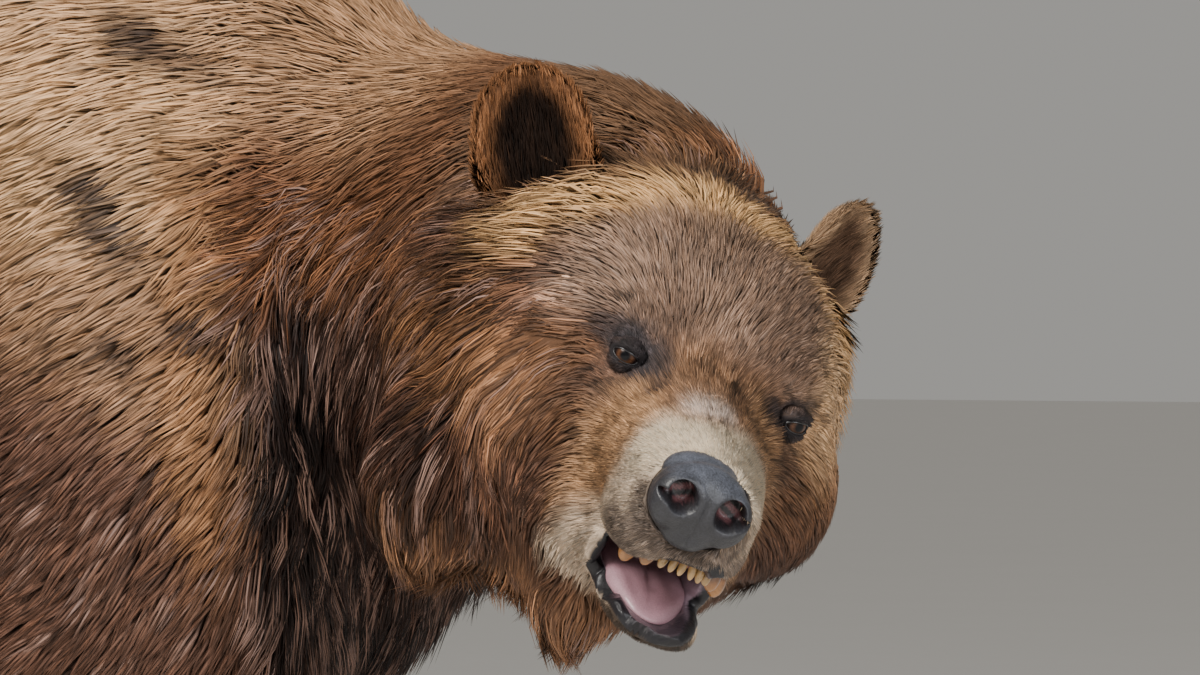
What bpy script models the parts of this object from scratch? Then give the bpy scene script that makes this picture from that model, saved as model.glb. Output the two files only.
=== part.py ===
"""A life-size standing brown bear, its head low, turned to its right, tilted, and the mouth a little open.

Run with: blender --background --python part.py. Metres, +Z up, the bear walks towards +X and its left is +Y.
The flesh is one fused body, parted by thin cuts. Eyes, nose, ears, teeth, tongue, claws and tail are seated in it.
All outer sizes reach to the tips of the coat.
"""

import math

import bmesh
import bpy
import numpy as np
from mathutils import Euler, Matrix, Vector

# ---- driving sizes -------------------------------------------------------------------------------
GAP = 0.0003  # clearance between neighbouring solids
VOXEL = 0.007  # grain of the fused body
HEAD_TRIANGLES = 900  # before the insets are cut into it
BODY_TRIANGLES = 1600
SOLE = 0.004  # flesh below this height is pressed flat

HUMP_HEIGHT = 1.15
RUMP_HEIGHT = 1.02
CHEST_FLOOR = 0.45  # underside of the chest above the ground
HALF_GIRTH = 0.315  # widest half of the barrel

EYE_MIDDLE = Vector((0.50, -0.36, 0.765))  # between the eyes, the head frame's origin
HEAD_HEADING = math.radians(-58.5)  # turned to its right
HEAD_PITCH = math.radians(13.0)  # nose down
HEAD_ROLL = math.radians(-22.5)  # crown leans to its left
JAW_OPEN = math.radians(11.5)
JAW_JOINT = Vector((-0.10, 0.0, -0.055))
NAPE_CUT = -0.175  # where the head ends, along the head frame's X

HALF_EYE_SPAN = 0.064
EYE_RADIUS = 0.0125

MUZZLE_SHIFT = -0.010  # the muzzle is drawn to its right
EAR_TURN = {"right": -22, "left": 48}  # degrees, the left ear is pricked further outwards

SIDES = {"right": -1, "left": 1}
FORE_AT = {"right": 0.095, "left": -0.02}  # x of each forefoot
HIND_AT = {"right": -0.83, "left": -0.93}  # x of each hind foot
FORE_SPREAD = 0.185  # of the feet from the midplane
HIND_SPREAD = 0.185


def head_frame():
    """The head's place and turn: +X out of the nose, +Y its left, +Z its crown."""
    heading = Matrix.Rotation(HEAD_HEADING, 4, "Z")
    pitch = Matrix.Rotation(HEAD_PITCH, 4, "Y")
    roll = Matrix.Rotation(HEAD_ROLL, 4, "X")
    return Matrix.Translation(EYE_MIDDLE) @ heading @ pitch @ roll


def jaw_swing():
    """Turns the lower jaw about its joint, inside the head frame."""
    joint = Matrix.Translation(JAW_JOINT)
    return joint @ Matrix.Rotation(JAW_OPEN, 4, "Y") @ joint.inverted()


# ---- small tools ---------------------------------------------------------------------------------
def clear_scene():
    for old in list(bpy.data.objects):
        bpy.data.objects.remove(old, do_unlink=True)


def finish(name, colour, roughness=0.7):
    """A material with one plain colour."""
    made = bpy.data.materials.new(name)
    made.use_nodes = True
    shader = made.node_tree.nodes["Principled BSDF"]
    shader.inputs["Base Color"].default_value = (*colour, 1.0)
    shader.inputs["Roughness"].default_value = roughness
    made.diffuse_color = (*colour, 1.0)
    return made


def place(name, mesh, material=None):
    """An object in the scene for this mesh."""
    made = bpy.data.objects.new(name, mesh)
    bpy.context.scene.collection.objects.link(made)
    if material is not None:
        mesh.materials.clear()
        mesh.materials.append(material)
    return made


def to_mesh(name, bm, matrix=None):
    """Ends a bmesh: outward normals, placed by the matrix."""
    if matrix is not None:
        bm.transform(matrix)
    bmesh.ops.recalc_face_normals(bm, faces=bm.faces)
    mesh = bpy.data.meshes.new(name)
    bm.to_mesh(mesh)
    bm.free()
    return mesh


def evaluated(obj):
    """A plain mesh of the object with its modifiers done."""
    bpy.context.view_layer.update()
    graph = bpy.context.evaluated_depsgraph_get()
    return bpy.data.meshes.new_from_object(obj.evaluated_get(graph))


def smooth_rows(rows, per_step):
    """More rows between the given ones, on a smooth curve through them."""
    rows = np.array(rows, float)
    ends = np.vstack([2 * rows[0] - rows[1], rows, 2 * rows[-1] - rows[-2]])
    made = []
    for k in range(len(rows) - 1):
        a, b, c, d = ends[k : k + 4]
        for s in range(per_step):
            t = s / per_step
            bend = 2 * a - 5 * b + 4 * c - d
            twist = -a + 3 * b - 3 * c + d
            made.append(0.5 * (2 * b + (c - a) * t + bend * t * t + twist * t**3))
    made.append(rows[-1])
    return np.array(made)


def skin_rings(bm, rings):
    """Joins closed rings of points into a capped tube."""
    loops = [[bm.verts.new(p) for p in ring] for ring in rings]
    count = len(loops[0])
    for here, there in zip(loops, loops[1:]):
        for k in range(count):
            after = (k + 1) % count
            bm.faces.new((here[k], here[after], there[after], there[k]))
    bm.faces.new(loops[0])
    bm.faces.new(list(reversed(loops[-1])))


def profile_body(rows, matrix=None, around=36, per_step=5, boxy=2.2):
    """A body along X. Each row is x, top, bottom, half width, height of the widest place, side shift."""
    bm = bmesh.new()
    rings = []
    for x, top, bottom, half, widest, shift in smooth_rows(rows, per_step):
        ring = []
        for k in range(around):
            angle = 2 * math.pi * k / around
            across = math.copysign(abs(math.cos(angle)) ** (2 / boxy), math.cos(angle))
            upward = math.copysign(abs(math.sin(angle)) ** (2 / boxy), math.sin(angle))
            reach = top - widest if upward > 0 else widest - bottom
            ring.append((x, shift + half * across, widest + reach * upward))
        rings.append(ring)
    skin_rings(bm, rings)
    return to_mesh("body", bm, matrix)


def limb(rows, around=24, per_step=5):
    """A limb down a path. Each row is x, y, z of the middle, fore-and-aft half and sideways half."""
    rows = smooth_rows(rows, per_step)
    middles = rows[:, :3]
    along = np.gradient(middles, axis=0)
    bm = bmesh.new()
    rings = []
    for middle, way, (fore, side) in zip(middles, along, rows[:, 3:5]):
        way = Vector(way).normalized()
        sideways = Vector((0, 1, 0))
        forward = sideways.cross(way).normalized()
        sideways = way.cross(forward).normalized()
        ring = []
        for k in range(around):
            angle = 2 * math.pi * k / around
            across = float(side) * math.sin(angle) * sideways
            ring.append(Vector(middle) + float(fore) * math.cos(angle) * forward + across)
        rings.append(ring)
    skin_rings(bm, rings)
    return to_mesh("limb", bm)


def ball(middle, radii, turn=(0, 0, 0), matrix=None, around=24, rows=14):
    """An ellipsoid, its turn in degrees."""
    bm = bmesh.new()
    bmesh.ops.create_uvsphere(bm, u_segments=around, v_segments=rows, radius=1.0)
    turned = Euler([math.radians(a) for a in turn]).to_matrix().to_4x4()
    scaled = Matrix.Diagonal((*radii, 1.0))
    bm.transform(Matrix.Translation(middle) @ turned @ scaled)
    return to_mesh("ball", bm, matrix)


def balls(specs, matrix=None, spare=0.0, around=12, rows=8):
    """One ellipsoid for each (middle, radii, turn), its radii larger by the spare."""
    return [
        ball(middle, [r + spare for r in radii], turn, matrix, around, rows)
        for middle, radii, turn in specs
    ]


def block(low, high, matrix=None, slope=0.0):
    """A cutting block between two corners. Its top climbs away from the midplane by the slope."""
    bm = bmesh.new()
    bmesh.ops.create_cube(bm, size=1.0)
    low, high = Vector(low), Vector(high)
    scaled = Matrix.Diagonal((*(high - low), 1.0))
    bm.transform(Matrix.Translation((low + high) / 2) @ scaled)
    for v in bm.verts:
        if v.co.z > (low.z + high.z) / 2:
            v.co.z += slope * abs(v.co.y)
    return to_mesh("block", bm, matrix)


def grown(mesh, by):
    """A copy of a mesh, each point moved out along its normal."""
    copy = mesh.copy()
    bm = bmesh.new()
    bm.from_mesh(copy)
    bmesh.ops.recalc_face_normals(bm, faces=bm.faces)
    moves = [(v, v.normal * by * v.calc_shell_factor()) for v in bm.verts]
    for v, move in moves:
        v.co += move
    bm.to_mesh(copy)
    bm.free()
    return copy


def carve(mesh, cutter, operation):
    """Boolean of two meshes, exact."""
    host = place("host", mesh.copy())
    tool = place("tool", cutter.copy())
    cut = host.modifiers.new("cut", "BOOLEAN")
    cut.operation = operation
    cut.solver = "EXACT"
    cut.object = tool
    made = evaluated(host)
    bpy.data.objects.remove(host)
    bpy.data.objects.remove(tool)
    return made


def joined(meshes):
    """The union of overlapping bodies."""
    made = meshes[0]
    for mesh in meshes[1:]:
        made = carve(made, mesh, "UNION")
    return made


def largest(mesh):
    """The mesh without the crumbs that a cut may leave beside the main piece."""
    bm = bmesh.new()
    bm.from_mesh(mesh)
    waiting = set(bm.verts)
    pieces = []
    while waiting:
        piece, edge_of_piece = set(), [waiting.pop()]
        while edge_of_piece:
            v = edge_of_piece.pop()
            piece.add(v)
            near = {e.other_vert(v) for e in v.link_edges} & waiting
            waiting -= near
            edge_of_piece += near
        pieces.append(piece)
    pieces.sort(key=len)
    crumbs = [v for piece in pieces[:-1] for v in piece]
    bmesh.ops.delete(bm, geom=crumbs, context="VERTS")
    bm.to_mesh(mesh)
    bm.free()
    return mesh


def tidied(mesh):
    """Drops doubled points and slivers that a boolean leaves, as triangles."""
    bm = bmesh.new()
    bm.from_mesh(mesh)
    bmesh.ops.remove_doubles(bm, verts=bm.verts, dist=1e-6)
    bmesh.ops.dissolve_degenerate(bm, edges=bm.edges, dist=1e-6)
    bmesh.ops.triangulate(bm, faces=bm.faces)
    bm.to_mesh(mesh)
    bm.free()
    return mesh


# ---- the flesh -----------------------------------------------------------------------------------
def trunk_mesh():
    """The barrel from rump to brisket, with the hump over the shoulders."""
    rows = (
        # x, top, bottom, half width, widest at, side shift
        (-1.15, 0.83, 0.64, 0.09, 0.74, 0),
        (-1.10, 0.925, 0.55, 0.19, 0.73, 0),
        (-1.00, 0.99, 0.50, 0.265, 0.72, 0),
        (-0.85, RUMP_HEIGHT, 0.475, 0.305, 0.70, 0),
        (-0.65, 1.005, 0.44, HALF_GIRTH - 0.010, 0.68, 0),
        (-0.42, 1.00, 0.43, HALF_GIRTH - 0.010, 0.67, 0),
        (-0.27, 1.06, 0.44, 0.305, 0.68, 0),
        (-0.14, HUMP_HEIGHT - 0.02, CHEST_FLOOR, 0.295, 0.70, 0),
        (-0.03, HUMP_HEIGHT, 0.465, 0.28, 0.72, 0),
        (0.07, 1.095, 0.505, 0.25, 0.74, 0),
        (0.15, 1.015, 0.56, 0.205, 0.76, -0.01),
        (0.22, 0.94, 0.63, 0.13, 0.79, -0.02),
    )
    return profile_body(rows, around=40)


def muscle_meshes():
    """Shoulders, haunches and the soft belly."""
    made = [ball((-0.42, 0, 0.60), (0.40, 0.30, 0.19))]
    for name, side in SIDES.items():
        fore, hind = FORE_AT[name], HIND_AT[name]
        made.append(ball((fore - 0.09, side * 0.195, 0.75), (0.165, 0.125, 0.28), (side * 8, -8, 0)))
        made.append(ball((fore - 0.11, side * 0.200, 0.56), (0.135, 0.105, 0.17), (0, 18, 0)))
        made.append(ball((hind - 0.02, side * 0.175, 0.69), (0.23, 0.155, 0.28), (0, -8, 0)))
    return made


def neck_mesh():
    """From inside the chest to the back of the skull, bending to the right."""
    rows = (
        # x, y, z, top-to-bottom half, sideways half
        (-0.05, 0.000, 0.810, 0.300, 0.250),
        (0.06, 0.000, 0.806, 0.260, 0.240),
        (0.16, -0.025, 0.808, 0.210, 0.215),
        (0.25, -0.080, 0.810, 0.192, 0.195),
        (0.325, -0.150, 0.804, 0.186, 0.178),
        (0.385, -0.225, 0.788, 0.166, 0.160),
    )
    rows = smooth_rows(rows, 5)
    middles = rows[:, :3]
    along = np.gradient(middles, axis=0)
    bm = bmesh.new()
    rings = []
    for middle, way, (high, side) in zip(middles, along, rows[:, 3:5]):
        way = Vector(way).normalized()
        sideways = Vector((0, 0, 1)).cross(way).normalized()
        upward = way.cross(sideways).normalized()
        ring = []
        for k in range(32):
            angle = 2 * math.pi * k / 32
            ring.append(
                Vector(middle)
                + float(side) * math.cos(angle) * sideways
                + float(high) * math.sin(angle) * upward
            )
        rings.append(ring)
    skin_rings(bm, rings)
    return to_mesh("neck", bm)


def skull_mesh(frame):
    """Crown, brow, cheeks and muzzle, above the mouth line."""
    rows = (
        # x, top, bottom, half width, widest at, side shift
        (-0.250, 0.070, -0.130, 0.110, -0.030, -0.014),
        (-0.215, 0.100, -0.150, 0.136, -0.035, -0.015),
        (-0.165, 0.122, -0.160, 0.150, -0.038, -0.015),
        (-0.115, 0.125, -0.156, 0.152, -0.042, -0.013),
        (-0.070, 0.108, -0.144, 0.142, -0.045, -0.010),
        (-0.030, 0.080, -0.130, 0.118, -0.048, -0.006),
        (0.005, 0.046, -0.118, 0.088, -0.050, -0.003),
        (0.040, 0.015, -0.112, 0.066, -0.054, -0.003),
        (0.080, -0.003, -0.107, 0.056, -0.058, -0.005),
        (0.120, -0.012, -0.104, 0.051, -0.060, -0.009),
        (0.150, -0.022, -0.100, 0.044, -0.062, -0.011),
        (0.168, -0.036, -0.090, 0.031, -0.062, -0.012),
    )
    return profile_body(rows, frame, around=40, boxy=2.15)


def face_meshes(frame):
    """Brow ridges, cheeks, lip pads and beard that swell from the skull."""
    made = [ball((-0.005, -0.012, -0.150), (0.058, 0.044, 0.052), (0, 0, 0), frame @ jaw_swing())]
    for side in SIDES.values():
        made.append(ball((-0.020, side * 0.056, 0.026), (0.038, 0.036, 0.022), (0, 25, 0), frame))
        low = -0.074 + side * 0.008
        made.append(ball((-0.075, side * 0.088, low), (0.085, 0.062, 0.074), (0, 0, 0), frame))
        corner = side * 0.052 - 0.002
        made.append(ball((-0.022, corner, -0.115), (0.075, 0.036, 0.060), (0, 0, 0), frame))
        lip = side * 0.024 + MUZZLE_SHIFT
        made.append(ball((0.105, lip, -0.086), (0.054, 0.031, 0.027), (0, 8, 0), frame))
        hang = -0.110 + side * 0.026  # the coat of the lower cheek hangs straight down
        made.append(ball((-0.115, side * 0.094 - 0.014, hang), (0.075, 0.060, 0.080), (0, 0, 0), frame))
    return made


def jaw_mesh(frame):
    """The lower jaw with its chin and beard, swung open."""
    rows = (
        # x, top, bottom, half width, widest at, side shift
        (-0.145, -0.080, -0.206, 0.090, -0.140, -0.030),
        (-0.095, -0.085, -0.206, 0.090, -0.140, -0.024),
        (-0.040, -0.095, -0.180, 0.078, -0.135, -0.012),
        (0.015, -0.098, -0.152, 0.058, -0.122, 0.004),
        (0.070, -0.098, -0.136, 0.044, -0.114, 0.008),
        (0.115, -0.098, -0.129, 0.039, -0.112, 0.009),
        (0.138, -0.101, -0.123, 0.030, -0.111, 0.009),
    )
    return profile_body(rows, frame @ jaw_swing(), around=30)


def mouth_hollow(frame):
    """The space between palate and tongue, open at the front and sides."""
    rows = (
        # x, top, bottom, half width, widest at, side shift
        (-0.030, -0.114, -0.128, 0.022, -0.121, 0),
        (0.000, -0.104, -0.134, 0.034, -0.120, 0.001),
        (0.045, -0.091, -0.144, 0.037, -0.122, 0.003),
        (0.090, -0.088, -0.153, 0.035, -0.124, 0.004),
        (0.128, -0.088, -0.158, 0.029, -0.126, 0.005),
        (0.144, -0.092, -0.154, 0.019, -0.126, 0.005),
    )
    return profile_body(rows, frame, around=24)


def foreleg_mesh(name):
    """From the elbow straight down to the wrist."""
    side, foot = SIDES[name], FORE_AT[name]
    spread = side * FORE_SPREAD
    rows = (
        # x, y, z, fore-and-aft half, sideways half
        (foot - 0.085, spread, 0.600, 0.145, 0.110),
        (foot - 0.080, spread, 0.480, 0.130, 0.104),
        (foot - 0.052, spread, 0.360, 0.104, 0.093),
        (foot - 0.030, spread, 0.240, 0.089, 0.084),
        (foot - 0.012, spread, 0.140, 0.080, 0.080),
        (foot + 0.000, spread, 0.060, 0.078, 0.082),
    )
    return limb(rows)


def hind_leg_mesh(name):
    """Thigh, knee, shank and heel."""
    side, foot = SIDES[name], HIND_AT[name]
    spread = side * HIND_SPREAD
    rows = (
        # x, y, z, fore-and-aft half, sideways half
        (foot - 0.05, spread * 0.92, 0.640, 0.205, 0.140),
        (foot - 0.02, spread * 0.98, 0.500, 0.170, 0.130),
        (foot - 0.03, spread, 0.380, 0.130, 0.112),
        (foot - 0.10, spread, 0.270, 0.097, 0.092),
        (foot - 0.145, spread, 0.170, 0.082, 0.079),
        (foot - 0.130, spread, 0.080, 0.080, 0.076),
    )
    return limb(rows)


TOES = range(-2, 3)  # from the inner to the outer toe, the middle one 0


def toe_places(foot, spread, reach, fan):
    """Where each toe's pad and claw root are: the middle toe reaches furthest."""
    for toe in TOES:
        yield toe, foot + reach - 0.007 * toe * toe, spread + toe * fan


def forepaw_meshes(name):
    side, foot = SIDES[name], FORE_AT[name]
    spread = side * FORE_SPREAD
    made = [ball((foot + 0.035, spread, 0.050), (0.100, 0.086, 0.062))]
    for _, x, y in toe_places(foot, spread, 0.115, 0.034):
        made.append(ball((x, y, 0.034), (0.042, 0.0215, 0.036)))
    return made


def hind_paw_meshes(name):
    side, foot = SIDES[name], HIND_AT[name]
    spread = side * HIND_SPREAD
    made = [
        ball((foot - 0.135, spread, 0.048), (0.080, 0.064, 0.060)),
        ball((foot - 0.040, spread, 0.046), (0.105, 0.074, 0.056)),
        ball((foot + 0.040, spread, 0.044), (0.085, 0.080, 0.050)),
    ]
    for _, x, y in toe_places(foot, spread, 0.112, 0.031):
        made.append(ball((x, y, 0.031), (0.038, 0.020, 0.032)))
    return made


def fused_flesh(frame):
    """Every lump of flesh as one smooth closed body, finer about the face, flat under the feet."""
    lumps = [trunk_mesh(), neck_mesh(), skull_mesh(frame), jaw_mesh(frame)]
    lumps += muscle_meshes() + face_meshes(frame)
    for name in SIDES:
        lumps += [foreleg_mesh(name), hind_leg_mesh(name)]
        lumps += forepaw_meshes(name) + hind_paw_meshes(name)
    bm = bmesh.new()
    for lump in lumps:
        bm.from_mesh(lump)
    body = place("fused", to_mesh("fused", bm))
    blend = body.modifiers.new("blend", "REMESH")
    blend.mode = "VOXEL"
    blend.voxel_size = VOXEL
    soft = body.modifiers.new("soft", "SMOOTH")
    soft.factor = 0.5
    soft.iterations = 14
    mesh = evaluated(body)
    bpy.data.objects.remove(body)
    mesh = carve(mesh, mouth_hollow(frame), "DIFFERENCE")
    return sliced(mesh, (0, 0, SOLE), (0, 0, 1))


def sliced(mesh, point, normal):
    """What lies on the normal's side of a plane, its cut face closed."""
    bm = bmesh.new()
    bm.from_mesh(mesh)
    everything = [*bm.verts, *bm.edges, *bm.faces]
    bmesh.ops.bisect_plane(
        bm, geom=everything, plane_co=point, plane_no=normal, clear_inner=True
    )
    bmesh.ops.holes_fill(bm, edges=[e for e in bm.edges if e.is_boundary])
    bmesh.ops.triangulate(bm, faces=bm.faces)
    bmesh.ops.recalc_face_normals(bm, faces=bm.faces)
    made = bpy.data.meshes.new("sliced")
    bm.to_mesh(made)
    bm.free()
    return made


def thinned(mesh, triangles):
    """The same shape with about that many triangles."""
    body = place("thinned", mesh)
    thin = body.modifiers.new("thin", "DECIMATE")
    thin.ratio = triangles / sum(len(f.vertices) - 2 for f in mesh.polygons)
    made = evaluated(body)
    bpy.data.objects.remove(body)
    return made


# ---- pieces seated in the flesh ------------------------------------------------------------------
def ear(name, frame):
    """A round cup, its hollow facing forwards and out, and the shape of its seat."""
    side = SIDES[name]
    height, half_width, depth = 0.056, 0.045, 0.026
    lean = Euler((math.radians(-32 * side), math.radians(-10), math.radians(EAR_TURN[name])))
    stand = Matrix.Translation((-0.130, side * 0.110 - 0.030, 0.075)) @ lean.to_matrix().to_4x4()
    outer = [((0, 0, 0.028), (depth, half_width, height), (0, 0, 0))]
    inner = [((0.022, 0, 0.036), (0.026, half_width - 0.010, height - 0.014), (0, 0, 0))]
    stand = frame @ stand
    shell, hollow = balls(outer, stand, 0, 14, 8)[0], balls(inner, stand, 0, 12, 8)[0]
    return tidied(carve(shell, hollow, "DIFFERENCE")), balls(outer, stand, GAP, 14, 8)[0]


def eye(name, frame):
    """The whole eyeball and the shape of its socket."""
    ball_spec = [((0.012, SIDES[name] * HALF_EYE_SPAN, 0.0), (EYE_RADIUS,) * 3, (0, 0, 0))]
    return balls(ball_spec, frame)[0], balls(ball_spec, frame, GAP)[0]


def nose(frame):
    """The leather pad with two deep comma nostrils, and the shapes of its seat."""
    matrix = frame @ Matrix.Translation((0, MUZZLE_SHIFT - 0.001, 0))
    solid = [
        ((0.163, 0, -0.054), (0.025, 0.0425, 0.029), (0, 12, 0)),
        ((0.150, 0, -0.040), (0.025, 0.035, 0.018), (0, 20, 0)),
        ((0.160, 0, -0.071), (0.016, 0.020, 0.015), (0, 0, 0)),
    ]
    nostrils = []
    for side in SIDES.values():
        nostrils += [
            ((0.186, side * 0.0185, -0.054), (0.018, 0.0105, 0.0115), (0, 0, side * 14)),
            ((0.178, side * 0.031, -0.060), (0.014, 0.009, 0.006), (side * -25, 0, side * 30)),
        ]
    pad = joined(balls(solid, matrix, 0, 12, 7))
    for nostril in balls(nostrils, matrix, 0, 8, 6):
        pad = carve(pad, nostril, "DIFFERENCE")
    return tidied(largest(pad)), joined(balls(solid, matrix, GAP, 12, 7))


def upper_teeth(frame):
    """Six incisors, a worn canine and a premolar each side, on one gum in the palate."""
    teeth = []
    for side in SIDES.values():
        # x, y, z, half width, half length, from the premolar forwards
        teeth += [
            (0.112, side * 0.0350, -0.103, 0.0060, 0.0140),
            (0.130, side * 0.0270, -0.101, 0.0066, 0.0130),
            (0.141, side * 0.0165, -0.099, 0.0046, 0.0095),
            (0.146, side * 0.0093, -0.099, 0.0038, 0.0085),
            (0.148, side * 0.0032, -0.099, 0.0034, 0.0080),
        ]
    specs = [((x, y, z), (half * 0.85, half, length), (0, 0, 0)) for x, y, z, half, length in teeth]
    gum = [((0.114, 0, -0.0950), (0.034, 0.036, 0.0065), (0, 0, 0))]
    row = joined(balls(gum, frame, 0, 14, 6) + balls(specs, frame, 0, 5, 4))
    seat = joined(balls(gum, frame, GAP, 14, 6) + balls(specs, frame, GAP, 5, 4))
    return tidied(row), seat


def tongue(frame):
    """Lies along the floor of the lower jaw, its tip behind the chin."""
    rows = (
        # x, top, bottom, half width, widest at, side shift
        (-0.010, -0.108, -0.122, 0.018, -0.115, 0),
        (0.020, -0.099, -0.116, 0.025, -0.108, 0.001),
        (0.060, -0.097, -0.114, 0.028, -0.106, 0.003),
        (0.094, -0.101, -0.115, 0.024, -0.108, 0.005),
        (0.110, -0.106, -0.113, 0.013, -0.109, 0.005),
    )
    made = profile_body(rows, frame @ jaw_swing(), around=10, per_step=2)
    return made, grown(made, GAP)


def claw(x, y, z, length, radius):
    """A tapered claw that curves forwards and down, its root inside the toe."""
    sides, steps, droop = 5, 4, math.radians(62)
    bend = length / droop
    bm = bmesh.new()
    rings = []
    for s in range(steps + 1):
        turn = droop * s / steps
        middle = Vector((bend * math.sin(turn), 0, -bend * (1 - math.cos(turn))))
        outward = Vector((math.sin(turn), 0, math.cos(turn)))
        size = radius * (1 - 0.80 * (s / steps) ** 1.4)
        ring = []
        for k in range(sides):
            angle = 2 * math.pi * k / sides
            ring.append(
                Vector((x, y, z))
                + middle
                + size * 1.25 * math.cos(angle) * outward
                + size * 0.8 * math.sin(angle) * Vector((0, 1, 0))
            )
        rings.append(ring)
    skin_rings(bm, rings)
    made = to_mesh("claw", bm)
    return made, grown(made, GAP)


def tail():
    """A short tail under its tuft, hanging over the rump."""
    rows = (
        # x, y, z, fore-and-aft half, sideways half
        (-1.095, 0, 0.845, 0.030, 0.034),
        (-1.135, 0, 0.820, 0.036, 0.042),
        (-1.165, 0, 0.775, 0.034, 0.040),
        (-1.175, 0, 0.730, 0.022, 0.027),
        (-1.172, 0, 0.705, 0.010, 0.012),
    )
    made = limb(rows, around=10, per_step=2)
    return made, grown(made, GAP)


# ---- parting the flesh ---------------------------------------------------------------------------
def part_off(rest, low, high, matrix=None, slope=0.0):
    """Splits off what lies inside a block. Returns that piece and what is left."""
    margin = Vector((GAP / 2,) * 3)
    low, high = Vector(low), Vector(high)
    inside = carve(rest, block(low + margin, high - margin, matrix, slope), "INTERSECT")
    outside = carve(rest, block(low - margin, high + margin, matrix, slope), "DIFFERENCE")
    return inside, outside


def tilted(origin, turn):
    """A frame at a point, turned by degrees about X, Y and Z."""
    turned = Euler([math.radians(a) for a in turn]).to_matrix().to_4x4()
    return Matrix.Translation(origin) @ turned


def parted_flesh(frame):
    """Name to mesh for each division of the body."""
    fused = fused_flesh(frame)
    head_block = ((NAPE_CUT, -0.40, -0.40), (0.40, 0.40, 0.40))
    spare = Vector((0.002, 0, 0))  # each side is thinned with this much beyond the cut
    low, high = Vector(head_block[0]), Vector(head_block[1])
    head = thinned(carve(fused, block(low - spare, high, frame), "INTERSECT"), HEAD_TRIANGLES)
    rest = thinned(carve(fused, block(low + spare, high, frame), "DIFFERENCE"), BODY_TRIANGLES)
    parts = {}
    parts["head"], _ = part_off(head, *head_block, frame)
    _, rest = part_off(rest, *head_block, frame)
    jaw_line = frame @ tilted((-0.005, 0, -0.101), (0, 7, 0))
    parts["lower_jaw"], parts["head"] = part_off(
        parts["head"], (0.020, -0.085, -0.25), (0.30, 0.085, 0.0), jaw_line
    )
    neck_base = tilted((0.155, 0, 0.86), (0, -20, -8))
    parts["neck"], rest = part_off(rest, (0.0, -0.50, -0.60), (0.80, 0.50, 0.60), neck_base)
    for name, side in SIDES.items():
        inner, outer = sorted((side * 0.015, side * 0.50))
        foot = FORE_AT[name]
        low, high = (foot - 0.22, inner, -0.10), (foot + 0.18, outer, 0.40)
        leg, rest = part_off(rest, low, high, slope=0.45)
        wrist = ((-1.40, -0.60, -0.10), (0.60, 0.60, 0.105))
        parts[f"forepaw_{name}"], parts[f"foreleg_{name}"] = part_off(leg, *wrist)
        foot = HIND_AT[name]
        low, high = (foot - 0.26, inner, -0.10), (foot + 0.17, outer, 0.39)
        leg, rest = part_off(rest, low, high, slope=0.55)
        parts[f"hind_paw_{name}"], leg = part_off(leg, *wrist)
        knee = ((-1.40, -0.60, 0.0), (0.60, 0.60, 0.31))
        parts[f"shank_{name}"], parts[f"thigh_{name}"] = part_off(leg, *knee)
    parts["trunk"] = rest
    return {name: largest(mesh) for name, mesh in parts.items()}


def claw_sets():
    """Name, host part, root and size of every claw."""
    for name, side in SIDES.items():
        for toe, x, y in toe_places(FORE_AT[name], side * FORE_SPREAD, 0.115, 0.034):
            yield f"claw_fore_{name}_{toe + 3}", f"forepaw_{name}", (x + 0.018, y, 0.047), 0.072, 0.0078
        for toe, x, y in toe_places(HIND_AT[name], side * HIND_SPREAD, 0.112, 0.031):
            yield f"claw_hind_{name}_{toe + 3}", f"hind_paw_{name}", (x + 0.016, y, 0.037), 0.054, 0.0068


def build():
    clear_scene()
    frame = head_frame()
    coat = finish("coat", (0.30, 0.17, 0.08), 0.85)
    face_coat = finish("face_coat", (0.22, 0.14, 0.09), 0.85)
    leather = finish("nose_leather", (0.035, 0.038, 0.045), 0.45)
    iris = finish("eye", (0.10, 0.045, 0.015), 0.08)
    ivory = finish("tooth", (0.55, 0.36, 0.14), 0.35)
    flesh = finish("mouth_flesh", (0.50, 0.25, 0.27), 0.4)
    horn = finish("claw_horn", (0.09, 0.065, 0.045), 0.4)

    parts = parted_flesh(frame)
    seated = {
        "nose": (nose(frame), ["head"], leather),
        "upper_teeth": (upper_teeth(frame), ["head"], ivory),
        "tongue": (tongue(frame), ["lower_jaw", "head"], flesh),
        "tail": (tail(), ["trunk"], coat),
    }
    for name in SIDES:
        seated[f"ear_{name}"] = (ear(name, frame), ["head"], face_coat)
        seated[f"eye_{name}"] = (eye(name, frame), ["head"], iris)
    for name, host, root, length, radius in claw_sets():
        seated[name] = (claw(*root, length, radius), [host], horn)

    for (_, seat), hosts, _ in seated.values():
        for host in hosts:
            parts[host] = carve(parts[host], seat, "DIFFERENCE")

    nodes = []
    for name, mesh in parts.items():
        material = face_coat if name in ("head", "lower_jaw") else coat
        nodes.append(place(name, tidied(largest(mesh)), material))
    for name, ((mesh, _), _, material) in seated.items():
        nodes.append(place(name, mesh, material))
    stand_at_origin(nodes)


def stand_at_origin(nodes):
    """Moves the bear so that the middle of its box stands on the origin."""
    corners = np.array([v.co for node in nodes for v in node.data.vertices])
    low, high = (Vector(edge.tolist()) for edge in (corners.min(0), corners.max(0)))
    shift = Matrix.Translation((-(low.x + high.x) / 2, -(low.y + high.y) / 2, -low.z))
    for node in nodes:
        node.data.transform(shift)
        node.data.shade_smooth()


build()
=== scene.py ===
"""A life-size brown bear, standing and looking round over its right shoulder.

One skin takes the place of the flesh, and thin locks of hair lie over it. The eyes, lids, nose, teeth,
tongue, ears and claws are pieces of their own. All of it is in metres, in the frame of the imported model.
"""

from __future__ import annotations

import logging
import math
from dataclasses import dataclass, field
from enum import Enum, IntEnum
from typing import Callable, Iterable, Sequence

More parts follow.
